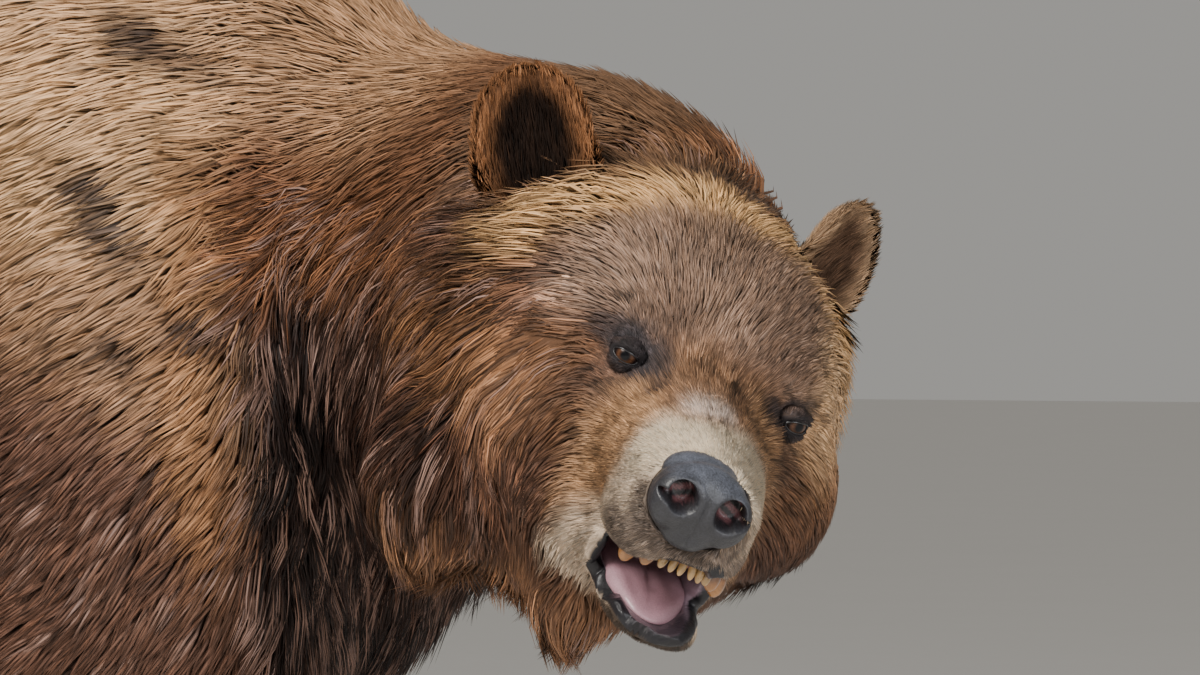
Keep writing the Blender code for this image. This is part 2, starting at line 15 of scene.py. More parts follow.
import bmesh
import bpy
import numpy as np
from bmesh.types import BMesh
from bpy.types import Material, Mesh, Node, NodeSocket, NodeTree, Object
from mathutils import Euler, Matrix, Vector
from mathutils.bvhtree import BVHTree
from mathutils.kdtree import KDTree


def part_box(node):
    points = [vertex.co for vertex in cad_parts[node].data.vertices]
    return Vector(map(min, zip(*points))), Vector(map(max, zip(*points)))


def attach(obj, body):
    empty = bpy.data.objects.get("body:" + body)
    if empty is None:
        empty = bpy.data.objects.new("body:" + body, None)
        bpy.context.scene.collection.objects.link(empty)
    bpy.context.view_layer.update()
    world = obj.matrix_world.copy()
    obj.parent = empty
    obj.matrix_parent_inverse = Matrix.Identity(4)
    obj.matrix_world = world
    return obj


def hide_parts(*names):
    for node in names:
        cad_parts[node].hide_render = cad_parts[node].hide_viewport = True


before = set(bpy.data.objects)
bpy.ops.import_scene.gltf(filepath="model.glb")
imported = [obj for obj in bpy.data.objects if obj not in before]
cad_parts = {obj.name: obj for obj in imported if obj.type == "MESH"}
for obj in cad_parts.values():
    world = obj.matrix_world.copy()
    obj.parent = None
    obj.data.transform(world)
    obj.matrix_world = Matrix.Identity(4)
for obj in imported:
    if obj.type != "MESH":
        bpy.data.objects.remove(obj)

LOG = logging.getLogger("brown_bear")
Array = np.ndarray
Triple = tuple[float, float, float]
SIDES = {"right": -1, "left": 1}
LIMBS = ("forepaw", "foreleg", "hind_paw", "shank", "thigh")
FLESH = ("head", "lower_jaw", "neck", "trunk", "tail",
         *(f"{limb}_{side}" for limb in LIMBS for side in SIDES))
IRIS_ANGLE = 0.8


class Zone(IntEnum):
    """Where on the animal a stretch of coat lies."""

    HEAD = 0
    NECK = 1
    TRUNK = 2
    FORELEG = 3
    HINDLEG = 4
    PAW = 5
    TAIL = 6

    @classmethod
    def of(cls, node: str) -> "Zone":
        """The zone a node of flesh belongs to.

        Args:
            node: The node's name.

        Returns:
            Its zone.
        """
        keys = {"jaw": cls.HEAD, "head": cls.HEAD, "neck": cls.NECK, "trunk": cls.TRUNK, "paw": cls.PAW,
                "foreleg": cls.FORELEG, "tail": cls.TAIL, "": cls.HINDLEG}
        return next(zone for key, zone in keys.items() if key in node)


class Hair(Enum):
    """How many rings a tuft has between its root and its point."""

    SPIKE = 1
    LOCK = 2
    LONG = 4


class Paint(Enum):
    """The listed colours of skin and coat."""

    GOLD = (0.38, 0.21, 0.112)
    GOLD_HIGH = (0.57, 0.335, 0.17)
    BACK = (0.54, 0.31, 0.165)
    FLANK = (0.125, 0.06, 0.038)
    # The neck's dark wet fur, partly painted shade under the turned head.
    NECK = (0.0235, 0.0105, 0.0074)
    MANE = (0.046, 0.02, 0.012)
    RUFF = (0.17, 0.072, 0.032)
    RUST = (0.38, 0.175, 0.07)
    # A painted sheen: the pale highlight of wet locks.
    SILVER = (0.34, 0.205, 0.16)
    # Painted shade in the gaps between locks.
    SMUDGE = (0.03, 0.018, 0.014)
    # Painted shade for the neck's fold and its lower part.
    THROAT = (0.0067, 0.003, 0.0021)
    CHEEK = (0.1008, 0.047, 0.0273)
    # Painted light on the far side of the face, over the cheek's own golden colour.
    FAR_CHEEK = (0.36, 0.22, 0.13)
    FAR_RIM = (0.85, 0.52, 0.27)
    TEMPLE = (0.2115, 0.0991, 0.0429)
    FOREHEAD = (0.25, 0.155, 0.105)
    BROW = (0.13, 0.075, 0.05)
    RIDGE = (0.9, 0.52, 0.2232)
    CROWN = (0.15, 0.08, 0.042)
    MUZZLE = (0.78, 0.6, 0.44)
    JAW = tuple(0.9 * part for part in MUZZLE)
    CREAM = (0.95, 0.775, 0.555)
    HONEY = (0.41, 0.23, 0.115)
    BRIDGE = (0.78, 0.62, 0.53)
    NASAL = (0.2635, 0.146, 0.08)
    SOCKET = (0.026, 0.021, 0.023)
    LIP_FUR = (0.155, 0.118, 0.096)
    CHIN = (0.045, 0.03, 0.021)
    BEARD = (0.185, 0.092, 0.048)
    LEG = (0.075, 0.035, 0.02)
    PAW = (0.05, 0.026, 0.017)
    LIP = (0.009, 0.008, 0.01)
    GUM = (0.36, 0.255, 0.31)
    # Painted shade deep in the mouth.
    THROAT_FLESH = (0.03, 0.012, 0.014)
    PAD = (0.028, 0.024, 0.024)
    LEATHER = (0.018, 0.018, 0.023)
    # A painted sheen on the top of the nose leather.
    DAMP = (0.075, 0.082, 0.105)
    NOSTRIL = (0.01, 0.008, 0.01)
    NOSE_FLESH = (0.15, 0.055, 0.06)
    TARTAR = (0.12, 0.043, 0.012)
    OLD_ENAMEL = (0.27, 0.115, 0.03)
    ENAMEL = (0.42, 0.27, 0.1)
    HORN = (0.03, 0.022, 0.018)
    HORN_TIP = (0.22, 0.165, 0.115)

    @property
    def rgb(self) -> Array:
        """The colour as an array."""
        return np.array(self.value)


def ease(low: float, high: float, value: Array) -> Array:
    """A smooth step from 0 at low to 1 at high.

    Args:
        low: Where the step starts. It may lie above high for a falling step.
        high: Where the step ends.
        value: The values to look up.

    Returns:
        The step's height at each value.
    """
    t = np.clip((value - low) / (high - low), 0.0, 1.0)
    return t * t * (3.0 - 2.0 * t)


def blend(base: Array, other: Array, share: Array) -> Array:
    """Mix two rows of colours or vectors by a share for each row."""
    return base + (other - base) * share[:, None]


def toward(value: Array, target: float, share: Array) -> Array:
    """Bring each number nearer to a target by a share of its own."""
    return value + (target - value) * share


def layered(base: Paint, count: int, layers: Iterable[tuple[Paint, Array]]) -> Array:
    """Lay colours over a base, one after another.

    Args:
        base: The colour beneath.
        count: How many places there are.
        layers: Each colour, with how much of it covers each place.

    Returns:
        A colour for each place.
    """
    tint = np.tile(base.rgb, (count, 1))
    for colour, share in layers:
        tint = blend(tint, colour.rgb, share)
    return tint


def unit(vectors: Array) -> Array:
    """Vectors brought to length 1."""
    return vectors / np.maximum(np.linalg.norm(vectors, axis=-1, keepdims=True), 1e-9)


def turn(degrees: float, axis: str) -> Matrix:
    """A turn about one axis."""
    return Matrix.Rotation(math.radians(degrees), 4, axis)


def placed(points: Array, matrix: Matrix) -> Array:
    """Points taken through a matrix."""
    rows = np.array(matrix)
    return points @ rows[:3, :3].T + rows[:3, 3]


def ripple(points: Array, size: float, seed: int) -> Array:
    """A smooth wandering value between about -1 and 1 over space.

    Args:
        points: Places, in metres.
        size: The rough width of one patch.
        seed: Which of many patterns.

    Returns:
        One value for each place.
    """
    rng = np.random.default_rng(seed)
    total = np.zeros(len(points))
    for octave in range(3):
        for _ in range(4):
            way = unit(rng.normal(size=3))
            turns = points @ way * (2 * math.pi * 1.7 ** octave / size)
            total += np.sin(turns + rng.uniform(0, 2 * math.pi)) / 1.7 ** octave
    return total / 4.6


@dataclass(frozen=True)
class HeadAxes:
    """The head's own axes: X out of the nose, Y to its left, Z through the crown, from between the eyes.

    Attributes:
        heading: How far the nose is turned from straight ahead, in degrees.
        pitch: How far the nose drops.
        roll: How far the head leans over.
        eye_forward: How far the eyes lie before the origin.
        half_span: Half the distance between the eyes.
    """

    heading: float = -58.5
    pitch: float = 13.0
    roll: float = -22.5
    eye_forward: float = 0.012
    half_span: float = 0.064

    @property
    def matrix(self) -> Matrix:
        """From the head's axes to the model's frame.

        Returns:
            The matrix.
        """
        centres = [sum(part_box(f"eye_{side}"), Vector()) / 2 for side in SIDES]
        turns = turn(self.heading, "Z") @ turn(self.pitch, "Y") @ turn(self.roll, "X")
        back = Matrix.Translation((-self.eye_forward, 0, 0))
        return Matrix.Translation((centres[0] + centres[1]) / 2) @ turns @ back

    def local(self, points: Array) -> Array:
        """Points of the model's frame, in the head's axes."""
        return placed(points, self.matrix.inverted())

    def world(self, points: Array) -> Array:
        """Points of the head's axes, in the model's frame."""
        return placed(points, self.matrix)

    def turned(self, vectors: Array) -> Array:
        """Directions of the head's axes, in the model's frame."""
        return vectors @ np.array(self.matrix)[:3, :3].T


class Net:
    """The edges of a mesh, for averaging values between neighbours."""

    def __init__(self, edges: Array, count: int) -> None:
        """Keep the edges both ways round.

        Args:
            edges: Pairs of vertex numbers.
            count: How many vertices there are.
        """
        self.start = np.concatenate([edges[:, 0], edges[:, 1]])
        self.end = np.concatenate([edges[:, 1], edges[:, 0]])
        self.count = count
        self.links = np.maximum(np.bincount(self.start, minlength=count), 1)

    @classmethod
    def of(cls, mesh: Mesh) -> "Net":
        """The net of a mesh's edges."""
        return cls(fetch(mesh.edges, "vertices", 2), len(mesh.vertices))

    def spread(self, values: Array, rounds: int, amount: float | Array = 0.5) -> Array:
        """Average values with their neighbours.

        Args:
            values: One number or one row for each vertex.
            rounds: How many times.
            amount: How far each goes towards its neighbours' mean each time.

        Returns:
            The averaged values.
        """
        flat = values.reshape(self.count, -1).astype(float).copy()
        share = np.broadcast_to(np.asarray(amount, float), (self.count,))
        for _ in range(rounds):
            for column in range(flat.shape[1]):
                mean = np.bincount(self.start, flat[self.end, column], self.count) / self.links
                flat[:, column] += (mean - flat[:, column]) * share
        return flat.reshape(values.shape)


def fetch(items: bpy.types.bpy_prop_collection, name: str, width: int = 1,
          kind: type = np.int32) -> Array:
    """Read one value of every item of a mesh.

    Args:
        items: The mesh's vertices, loops, faces or the like.
        name: Which of their values.
        width: How many numbers each value has.
        kind: What sort of number.

    Returns:
        One row for each item, or one number where the width is 1.
    """
    flat = np.zeros(len(items) * width, kind)
    items.foreach_get(name, flat)
    return flat.reshape(-1, width) if width > 1 else flat


def store(mesh: Mesh, name: str, kind: str, values: Array) -> None:
    """Store a value for each vertex as an attribute.

    Args:
        mesh: The mesh.
        name: The attribute's name.
        kind: Its type: FLOAT, FLOAT_VECTOR or FLOAT_COLOR.
        values: A number or a row for each vertex. A colour may leave out its fourth number.
    """
    if kind == "FLOAT_COLOR" and values.shape[-1] == 3:
        values = np.concatenate([values, np.ones((len(values), 1))], 1)
    field_name = {"FLOAT": "value", "FLOAT_VECTOR": "vector", "FLOAT_COLOR": "color"}[kind]
    mesh.attributes.new(name, kind, "POINT").data.foreach_set(field_name, values.astype(np.float32).ravel())


def corners(mesh: Mesh) -> Array:
    """The places of a mesh's vertices, one row each."""
    return fetch(mesh.vertices, "co", 3, np.float32).astype(float)


def move(mesh: Mesh, places: Array) -> None:
    """Put a mesh's vertices at new places."""
    mesh.vertices.foreach_set("co", places.astype(np.float32).ravel())
    mesh.update()


def facing(mesh: Mesh) -> Array:
    """The outward direction at each vertex of a mesh."""
    return fetch(mesh.vertex_normals, "vector", 3, np.float32).astype(float)


def shown(name: str, data: bpy.types.ID) -> Object:
    """Put a mesh, a lamp or a camera into the scene.

    Args:
        name: The object's name.
        data: What it shows.

    Returns:
        The new object.
    """
    made = bpy.data.objects.new(name, data)
    bpy.context.scene.collection.objects.link(made)
    return made


def poured(bm: BMesh, name: str) -> Mesh:
    """Turn a bmesh into a mesh and free it.

    Args:
        bm: The bmesh. It is used up.
        name: The mesh's name.

    Returns:
        The mesh.
    """
    mesh = bpy.data.meshes.new(name)
    bm.to_mesh(mesh)
    bm.free()
    return mesh


def piece(name: str, mesh: Mesh, materials: Sequence[Material],
          replaces: Iterable[str] = ()) -> Object:
    """Put a finished mesh into the model as a piece.

    Args:
        name: The piece's name.
        mesh: Its mesh, in place.
        materials: Its materials, in slot order.
        replaces: The CAD nodes that it stands for.

    Returns:
        The new object.
    """
    mesh.name = name
    made = shown(name, mesh)
    mesh.materials.clear()
    for material in materials:
        mesh.materials.append(material)
    mesh.shade_smooth()
    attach(made, "root")
    names = list(replaces)
    if names:
        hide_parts(*names)
    LOG.info("%s: %d vertices, %d faces", name, len(mesh.vertices), len(mesh.polygons))
    return made


def settled(bm: BMesh, name: str, merge: float = 1e-6) -> Mesh:
    """Turn a bmesh into a mesh with its doubles merged and its faces pointing outwards.

    Args:
        bm: The bmesh. It is used up.
        name: The mesh's name.
        merge: How near two vertices lie that become one.

    Returns:
        The mesh.
    """
    bmesh.ops.remove_doubles(bm, verts=bm.verts, dist=merge)
    bmesh.ops.recalc_face_normals(bm, faces=bm.faces)
    return poured(bm, name)


def recast(mesh: Mesh, voxel: float) -> Mesh:
    """Fuse a mesh's overlapping shells into one even surface.

    Args:
        mesh: The mesh to fuse. It is used up.
        voxel: The size of the new faces.

    Returns:
        The fused mesh.
    """
    holder = shown("recast", mesh)
    modifier = holder.modifiers.new("fuse", "REMESH")
    modifier.mode = "VOXEL"
    modifier.voxel_size = voxel
    graph = bpy.context.evaluated_depsgraph_get()
    fused = bpy.data.meshes.new_from_object(holder.evaluated_get(graph))
    bpy.data.objects.remove(holder)
    bpy.data.meshes.remove(mesh)
    return fused


class Surface:
    """A mesh as triangles, for finding nearest places, growing roots and reading values between vertices."""

    def __init__(self, mesh: Mesh) -> None:
        """Read the mesh.

        Args:
            mesh: A mesh in place.
        """
        mesh.calc_loop_triangles()
        self.triangles = fetch(mesh.loop_triangles, "vertices", 3)
        self.loops = fetch(mesh.loop_triangles, "loops", 3)
        self.points = corners(mesh)
        self.normals = facing(mesh)
        self.tree = BVHTree.FromPolygons(self.points.tolist(), self.triangles.tolist(), all_triangles=True)
        first, second, third = (self.points[self.triangles[:, i]] for i in range(3))
        self.areas = np.linalg.norm(np.cross(second - first, third - first), axis=1) / 2

    def nearest(self, places: Array) -> tuple[Array, Array]:
        """The nearest places on the surface.

        Args:
            places: Where to look from.

        Returns:
            The nearest places and the numbers of their triangles.
        """
        found = [self.tree.find_nearest(place) for place in map(Vector, places)]
        return np.array([hit[0] for hit in found]), np.array([hit[2] for hit in found])

    def shares(self, places: Array, triangles: Array) -> Array:
        """How much each corner of a triangle counts at a place inside it.

        Args:
            places: Places on the surface.
            triangles: The triangle each lies in.

        Returns:
            Three weights for each place, which add up to 1.
        """
        a, b, c = (self.points[self.triangles[triangles, i]] for i in range(3))
        v0, v1, v2 = b - a, c - a, places - a
        d00, d01, d11 = (v0 * v0).sum(1), (v0 * v1).sum(1), (v1 * v1).sum(1)
        d20, d21 = (v2 * v0).sum(1), (v2 * v1).sum(1)
        scale = np.maximum(d00 * d11 - d01 * d01, 1e-18)
        v, w = (d11 * d20 - d01 * d21) / scale, (d00 * d21 - d01 * d20) / scale
        weights = np.clip(np.stack([1 - v - w, v, w], 1), 0, 1)
        return weights / weights.sum(1, keepdims=True)

    def read(self, values: Array, triangles: Array, weights: Array) -> Array:
        """Read values kept at the vertices at places between them."""
        picked = values[self.triangles[triangles]]
        return (picked * weights.reshape(weights.shape + (1,) * (picked.ndim - 2))).sum(1)

    def sow(self, weights: Array, count: int,
            rng: np.random.Generator) -> tuple[Array, Array, Array]:
        """Scatter roots evenly over the surface.

        Args:
            weights: How densely each triangle is sown.
            count: How many roots.
            rng: The source of chance.

        Returns:
            The roots' places, their triangles and their corner weights.
        """
        total = np.cumsum(self.areas * weights)
        steps = (np.arange(count) + rng.uniform(0, 1, count)) / count * total[-1]
        chosen = np.minimum(np.searchsorted(total, steps), len(self.triangles) - 1)
        r1, r2 = np.sqrt(rng.uniform(size=count)), rng.uniform(size=count)
        share = np.stack([1 - r1, r1 * (1 - r2), r1 * r2], 1)
        return self.read(self.points, chosen, share), chosen, share


@dataclass(frozen=True)
class Growth:
    """How the coat grows in one zone.

    Attributes:
        depth: How far the skin lies under the coat's outline.
        length: The length of a hair tuft.
        clump: How far tufts run together into wet points, 0 to 1.
        wave: How far a tuft swings to each side of its line.
        droop: How far its point sags, as a share of its length.
        flow: Which way it lies, in the model's frame.
    """

    depth: float
    length: float
    clump: float
    wave: float
    droop: float
    flow: Triple


GROWTH = {
    Zone.HEAD: Growth(0.017, 0.032, 0.5, 0.0015, 0.05, (-0.3, 0.0, -0.9)),
    Zone.NECK: Growth(0.03, 0.074, 0.84, 0.0065, 0.1, (-0.72, -0.05, -0.8)),
    Zone.TRUNK: Growth(0.024, 0.044, 0.62, 0.0015, 0.02, (-0.8, 0.0, -0.62)),
    Zone.FORELEG: Growth(0.02, 0.05, 0.5, 0.002, 0.05, (-0.3, 0.0, -1.0)),
    Zone.HINDLEG: Growth(0.022, 0.052, 0.5, 0.002, 0.05, (-0.35, 0.0, -1.0)),
    Zone.PAW: Growth(0.008, 0.02, 0.3, 0.0008, 0.0, (0.55, 0.0, -0.8)),
    Zone.TAIL: Growth(0.02, 0.05, 0.4, 0.002, 0.1, (-0.5, 0.0, -1.0)),
}


@dataclass
class Pelage:
    """The coat's growth at each vertex of a surface."""

    flow: Array
    length: Array
    width: Array
    loft: Array
    clump: Array
    wave: Array
    droop: Array
    tint: Array
    density: Array


@dataclass(frozen=True)
class Dab:
    """A soft push on the skin of the head, the same on both sides.

    Attributes:
        place: Its middle in the head's axes, on the left side.
        reach: How far it spreads.
        push: How far it moves the skin outwards.
    """

    place: Triple
    reach: float
    push: float

    def lift(self, local: Array) -> Array:
        """How far the dab moves the skin.

        Args:
            local: Places in the head's axes.

        Returns:
            A distance for each place.
        """
        total = np.zeros(len(local))
        sides = (1.0,) if self.place[1] == 0 else (1.0, -1.0)
        for side in sides:
            middle = np.array(self.place) * (1.0, side, 1.0)
            total += np.exp(-((local - middle) ** 2).sum(1) / (self.reach / 2) ** 2)
        return total * self.push


@dataclass(frozen=True)
class Mouth:
    """The open mouth, in the head's axes.

    Attributes:
        rows: Its hollow from back to front: how far forward, top, bottom, half width, height of the widest
            place, and shift to the side.
        hinge: Where the lower jaw turns.
        drop: How far it is dropped, in degrees.
    """

    rows: tuple = (
        (-0.03, -0.114, -0.128, 0.022, -0.121, 0.0), (0.0, -0.104, -0.134, 0.034, -0.12, 0.001),
        (0.045, -0.091, -0.144, 0.037, -0.122, 0.003), (0.09, -0.088, -0.153, 0.035, -0.124, 0.004),
        (0.128, -0.088, -0.158, 0.029, -0.126, 0.005), (0.144, -0.092, -0.154, 0.019, -0.126, 0.005),
    )
    hinge: Triple = (-0.1, 0.0, -0.055)
    drop: float = 11.5

    @property
    def swing(self) -> Matrix:
        """How the lower jaw is turned from where it would close."""
        hinge = Matrix.Translation(self.hinge)
        return hinge @ turn(self.drop, "Y") @ hinge.inverted()

    def beyond(self, local: Array, grow: float | Array) -> Array:
        """How far out each place lies from the hollow's middle: 1 is its wall.

        Args:
            local: Places in the head's axes.
            grow: How much wider than the hollow to take it.

        Returns:
            A number for each place.
        """
        table = np.array(self.rows)
        x, y, z = local.T
        top, bottom, half, widest, shift = (np.interp(x, table[:, 0], column) for column in table.T[1:])
        reach = np.where(z > widest, top - widest, widest - bottom)
        return (np.abs(y - shift) / (half + grow)) ** 2.2 + (np.abs(z - widest) / (reach + grow)) ** 2.2

    def inside(self, local: Array) -> Array:
        """How much each place of the skin lies within the hollow: 1 inside, 0 outside."""
        x = local[:, 0]
        return ease(1.18, 0.96, self.beyond(local, 0.0)) * ease(-0.045, -0.03, x) * ease(0.16, 0.148, x)

    def lips(self, local: Array) -> Array:
        """How much each place of the skin lies on the bare black edge round the hollow.

        Args:
            local: Places in the head's axes.

        Returns:
            A share for each place.
        """
        x = local[:, 0]
        grow = 0.0076 + 0.0038 * ease(0.095, 0.075, x) * ease(-0.13, -0.145, local[:, 2])
        return ease(1.2, 1.0, self.beyond(local, grow)) * ease(0.024, 0.036, x) * ease(0.164, 0.156, x)


@dataclass(frozen=True)
class EyeShape:
    """One eye and its lids.

    Attributes:
        radius: The eyeball's radius.
        half_width: Half the opening's width.
        upper: How far the opening reaches above the middle.
        lower: How far it reaches below.
        lid: How thick the lids lie over the eyeball.
        outward: How far the eye looks to its own side.
        upward: How far it looks up.
    """

    radius: float = 0.0125
    half_width: float = 0.0098
    upper: float = 0.0036
    lower: float = 0.0047
    lid: float = 0.0013
    outward: float = 0.4
    upward: float = 0.02

    def axes(self, side: int) -> Array:
        """The eye's own directions, in the head's axes.

        Args:
            side: 1 for the left eye, -1 for the right one.

        Returns:
            Three rows: its gaze, its outer corner and up.
        """
        gaze = unit(np.array([1.0, side * self.outward, self.upward]))
        corner = unit(np.cross(gaze, (0.0, 0.0, 1.0)) * -side + np.array([0.0, 0.0, 0.1]))
        corner = unit(corner - gaze * (corner @ gaze))
        return np.stack([gaze, corner, np.cross(gaze, corner) * side])

    def opening(self, across: Array, upwards: Array) -> Array:
        """How far out of the opening a place is: under 1 inside it, 1 on its rim."""
        height = np.where(upwards > 0, self.upper, self.lower)
        return np.sqrt((across / self.half_width) ** 2 + (upwards / height) ** 2)


@dataclass
class Skin:
    """The animal's hide: one closed surface in place of all the nodes of flesh."""

    axes: HeadAxes
    mouth: Mouth = field(default_factory=Mouth)
    eye: EyeShape = field(default_factory=EyeShape)
    voxel: float = 0.012
    spare: float = 0.0006
    mouth_corner: Vector = Vector((0.026, 0.043, -0.122))
    corner_radii: Triple = (0.046, 0.013, 0.03)
    nose_middle: Triple = (0.163, -0.016, -0.055)
    nose_radii: Triple = (0.034, 0.04, 0.034)
    dabs: tuple[Dab, ...] = (
        Dab((0.012, 0.052, 0.026), 0.03, 0.0045),
        Dab((0.04, 0.04, -0.012), 0.032, -0.004),
        Dab((-0.01, 0.0, 0.045), 0.05, -0.0035),
        Dab((0.125, 0.04, -0.085), 0.04, 0.003),
        Dab((0.06, 0.0, 0.0), 0.03, 0.002),
        Dab((-0.02, 0.08, -0.055), 0.06, 0.004),
        Dab((-0.03, 0.105, 0.0), 0.09, 0.008),
    )

    def cast(self) -> tuple[Mesh, Array]:
        """Join copies of the nodes of flesh, each grown a little so that they overlap.

        Returns:
            The joined mesh and the zone number of each of its triangles.
        """
        joined, zones = bmesh.new(), []
        for name in (*FLESH, "nose", "eye_right", "eye_left"):
            bm = bmesh.new()
            bm.from_mesh(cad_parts[name].data)
            bmesh.ops.remove_doubles(bm, verts=bm.verts, dist=1e-5)
            bm.normal_update()
            for vertex in bm.verts:
                vertex.co += vertex.normal * self.spare
            part = poured(bm, "part")
            joined.from_mesh(part)
            zone = Zone.HEAD if name.startswith(("nose", "eye")) else Zone.of(name)
            zones += [zone] * len(part.polygons)
            bpy.data.meshes.remove(part)
        before = len(joined.faces)
        for side in SIDES.values():
            place = Matrix.Translation(self.mouth_corner * Vector((1, side, 1)))
            matrix = self.axes.matrix @ place @ Matrix.Diagonal((*self.corner_radii, 1))
            bmesh.ops.create_uvsphere(joined, u_segments=20, v_segments=14, radius=1, matrix=matrix)
        bmesh.ops.triangulate(joined, faces=joined.faces[before:])
        zones += [Zone.HEAD] * (len(joined.faces) - before)
        return poured(joined, "cast"), np.array(zones)

    def on_face(self, local: Array) -> Array:
        """Which places lie on the face."""
        return (np.linalg.norm(local - (0.0, 0.0, -0.05), axis=1) < 0.23) & (local[:, 0] > -0.13)

    def on_muzzle(self, local: Array) -> Array:
        """Which places lie on the muzzle or round an eye."""
        muzzle = np.linalg.norm(local - (0.095, 0.0, -0.09), axis=1) < 0.115
        return muzzle | (self.eye_distance(local) < 0.04)

    def on_lips(self, local: Array) -> Array:
        """Which places lie on the lips or the lids."""
        lips = (local > (0.0, -0.052, -0.17)) & (local < (1.0, 0.052, -0.088))
        return (self.eye_distance(local) < 0.026) | lips.all(1)

    def refine(self, mesh: Mesh, wanted: Callable[[Array], Array]) -> None:
        """Halve the faces where more detail is wanted.

        Args:
            mesh: The mesh to refine.
            wanted: Says, for places in the head's axes, which are wanted finer.
        """
        bm = bmesh.new()
        bm.from_mesh(mesh)
        inside = wanted(self.axes.local(corners(mesh)))
        edges = [edge for edge in bm.edges if inside[edge.verts[0].index] and inside[edge.verts[1].index]]
        bmesh.ops.subdivide_edges(bm, edges=edges, cuts=1, use_grid_fill=True)
        bm.to_mesh(mesh)
        bm.free()

    def eye_distance(self, local: Array) -> Array:
        """How far each place lies from the nearer eye's middle."""
        mirrored = np.abs(local * (0, 1, 0)) + local * (1, 0, 1)
        return np.linalg.norm(mirrored - (self.axes.eye_forward, self.axes.half_span, 0.0), axis=1)

    def nose_reach(self, local: Array) -> Array:
        """How far out of the nose leather each place lies: under 1 beneath it."""
        return np.linalg.norm((local - self.nose_middle) / self.nose_radii, axis=1)

    def lid_reach(self, local: Array) -> Array:
        """How far each place lies from the rim of the nearer eye's opening.

        Args:
            local: Places in the head's axes.

        Returns:
            A distance for each place, less than 0 inside the opening.
        """
        least = np.full(len(local), 1.0)
        for side in SIDES.values():
            offset = local - (self.axes.eye_forward, side * self.axes.half_span, 0.0)
            own = offset @ self.eye.axes(side).T
            reach = np.maximum(np.linalg.norm(offset, axis=1), 1e-6)
            out = self.eye.opening(own[:, 1] * self.eye.radius / reach, own[:, 2] * self.eye.radius / reach)
            away = np.hypot(own[:, 1], own[:, 2]) * (1 - 1 / np.maximum(out, 0.1))
            least = np.minimum(least, np.where((own[:, 0] > 0) & (reach < 0.05), away, 1.0))
        return least

    def build(self) -> None:
        """Fuse, refine, smooth, sink and sculpt the skin, and work out what grows on it."""
        source, face_zones = self.cast()
        shell = Surface(source)
        mesh = recast(source.copy(), self.voxel)
        for wanted in (self.on_face, self.on_muzzle, self.on_lips):
            self.refine(mesh, wanted)
        places = corners(mesh)
        net = Net.of(mesh)
        found, triangles = shell.nearest(places)
        self.zone = face_zones[triangles]
        on_head = net.spread((self.zone == Zone.HEAD).astype(float), 6)
        places = blend(places, found, ease(0.4, 1.0, on_head))
        self.inside = self.mouth.inside(self.axes.local(places))
        places = self.evened(net, places)
        move(mesh, places)
        local = self.axes.local(places)
        self.inside = net.spread(self.mouth.inside(local), 2)
        self.lips = np.maximum(net.spread(self.mouth.lips(local), 1), self.inside)
        self.weights = net.spread(np.eye(len(Zone))[self.zone], 26)
        x, _, z = places.T
        seam = x + 0.1 * (z - 0.8) + 0.012 * ripple(places, 0.07, 4)
        ahead = ease(0.416, 0.444, seam) * ease(0.5, 0.58, z)
        ahead *= self.weights[:, Zone.TRUNK]
        self.weights[:, Zone.TRUNK] -= ahead
        self.weights[:, Zone.NECK] += ahead
        self.weights /= self.weights.sum(1, keepdims=True)
        self.outline = places.copy()
        places = places - unit(net.spread(facing(mesh), 8)) * self.depth(places, net)[:, None]
        move(mesh, places)
        places = self.sculpted(mesh, places)
        move(mesh, places)
        self.mesh, self.net = mesh, net
        self.places = corners(mesh)
        self.normals = facing(mesh)
        self.local = self.axes.local(self.places)

    def evened(self, net: Net, places: Array) -> Array:
        """Take the facets off without shrinking the shape.

        Args:
            net: The mesh's edges.
            places: Its vertices.

        Returns:
            The vertices' new places.
        """
        amount = np.where(self.zone == Zone.PAW, 0.22, 0.6)
        amount = np.where(self.inside > 0.1, 0.2, amount)
        for _ in range(16):
            places = net.spread(places, 1, amount)
            places = net.spread(places, 1, -amount * 0.98)
        return net.spread(places, 3, amount * 0.8)

    def depth(self, places: Array, net: Net) -> Array:
        """How far the skin sinks under the coat's outline.

        Args:
            places: The outline's vertices.
            net: The mesh's edges.

        Returns:
            A depth for each vertex.
        """
        value = self.weights @ np.array([GROWTH[zone].depth for zone in Zone])
        local = self.axes.local(places)
        on_head = self.weights[:, Zone.HEAD]
        value = toward(value, 0.016, self.weights[:, Zone.NECK] * ease(0.86, 0.95, places[:, 2]))
        face = ease(-0.1, -0.02, local[:, 0]) * ease(-0.16, -0.1, local[:, 2]) * on_head
        value = toward(value, 0.0085, face)
        value = toward(value, 0.003, ease(0.02, 0.065, local[:, 0]) * on_head)
        value = value * (1 - ease(0.05, 0.4, self.lips))
        value = net.spread(value, 12)
        return value * ease(0.002, 0.05, places[:, 2])

    def sculpted(self, mesh: Mesh, places: Array) -> Array:
        """Push the brow, cheeks and muzzle into shape and lay the lids over the eyes.

        Args:
            mesh: The sunk skin.
            places: Its vertices.

        Returns:
            The vertices' new places.
        """
        local = self.axes.local(places)
        normals = facing(mesh) @ np.array(self.axes.matrix)[:3, :3]
        lift = sum(dab.lift(local) for dab in self.dabs) * (1 - ease(0.05, 0.5, self.lips))
        local = local + normals * lift[:, None]
        local[:, 0] -= 0.026 * ease(0.98, 0.7, self.nose_reach(local)) * ease(0.135, 0.15, local[:, 0])
        for side in SIDES.values():
            local = self.lidded(local, side)
        return self.axes.world(local)

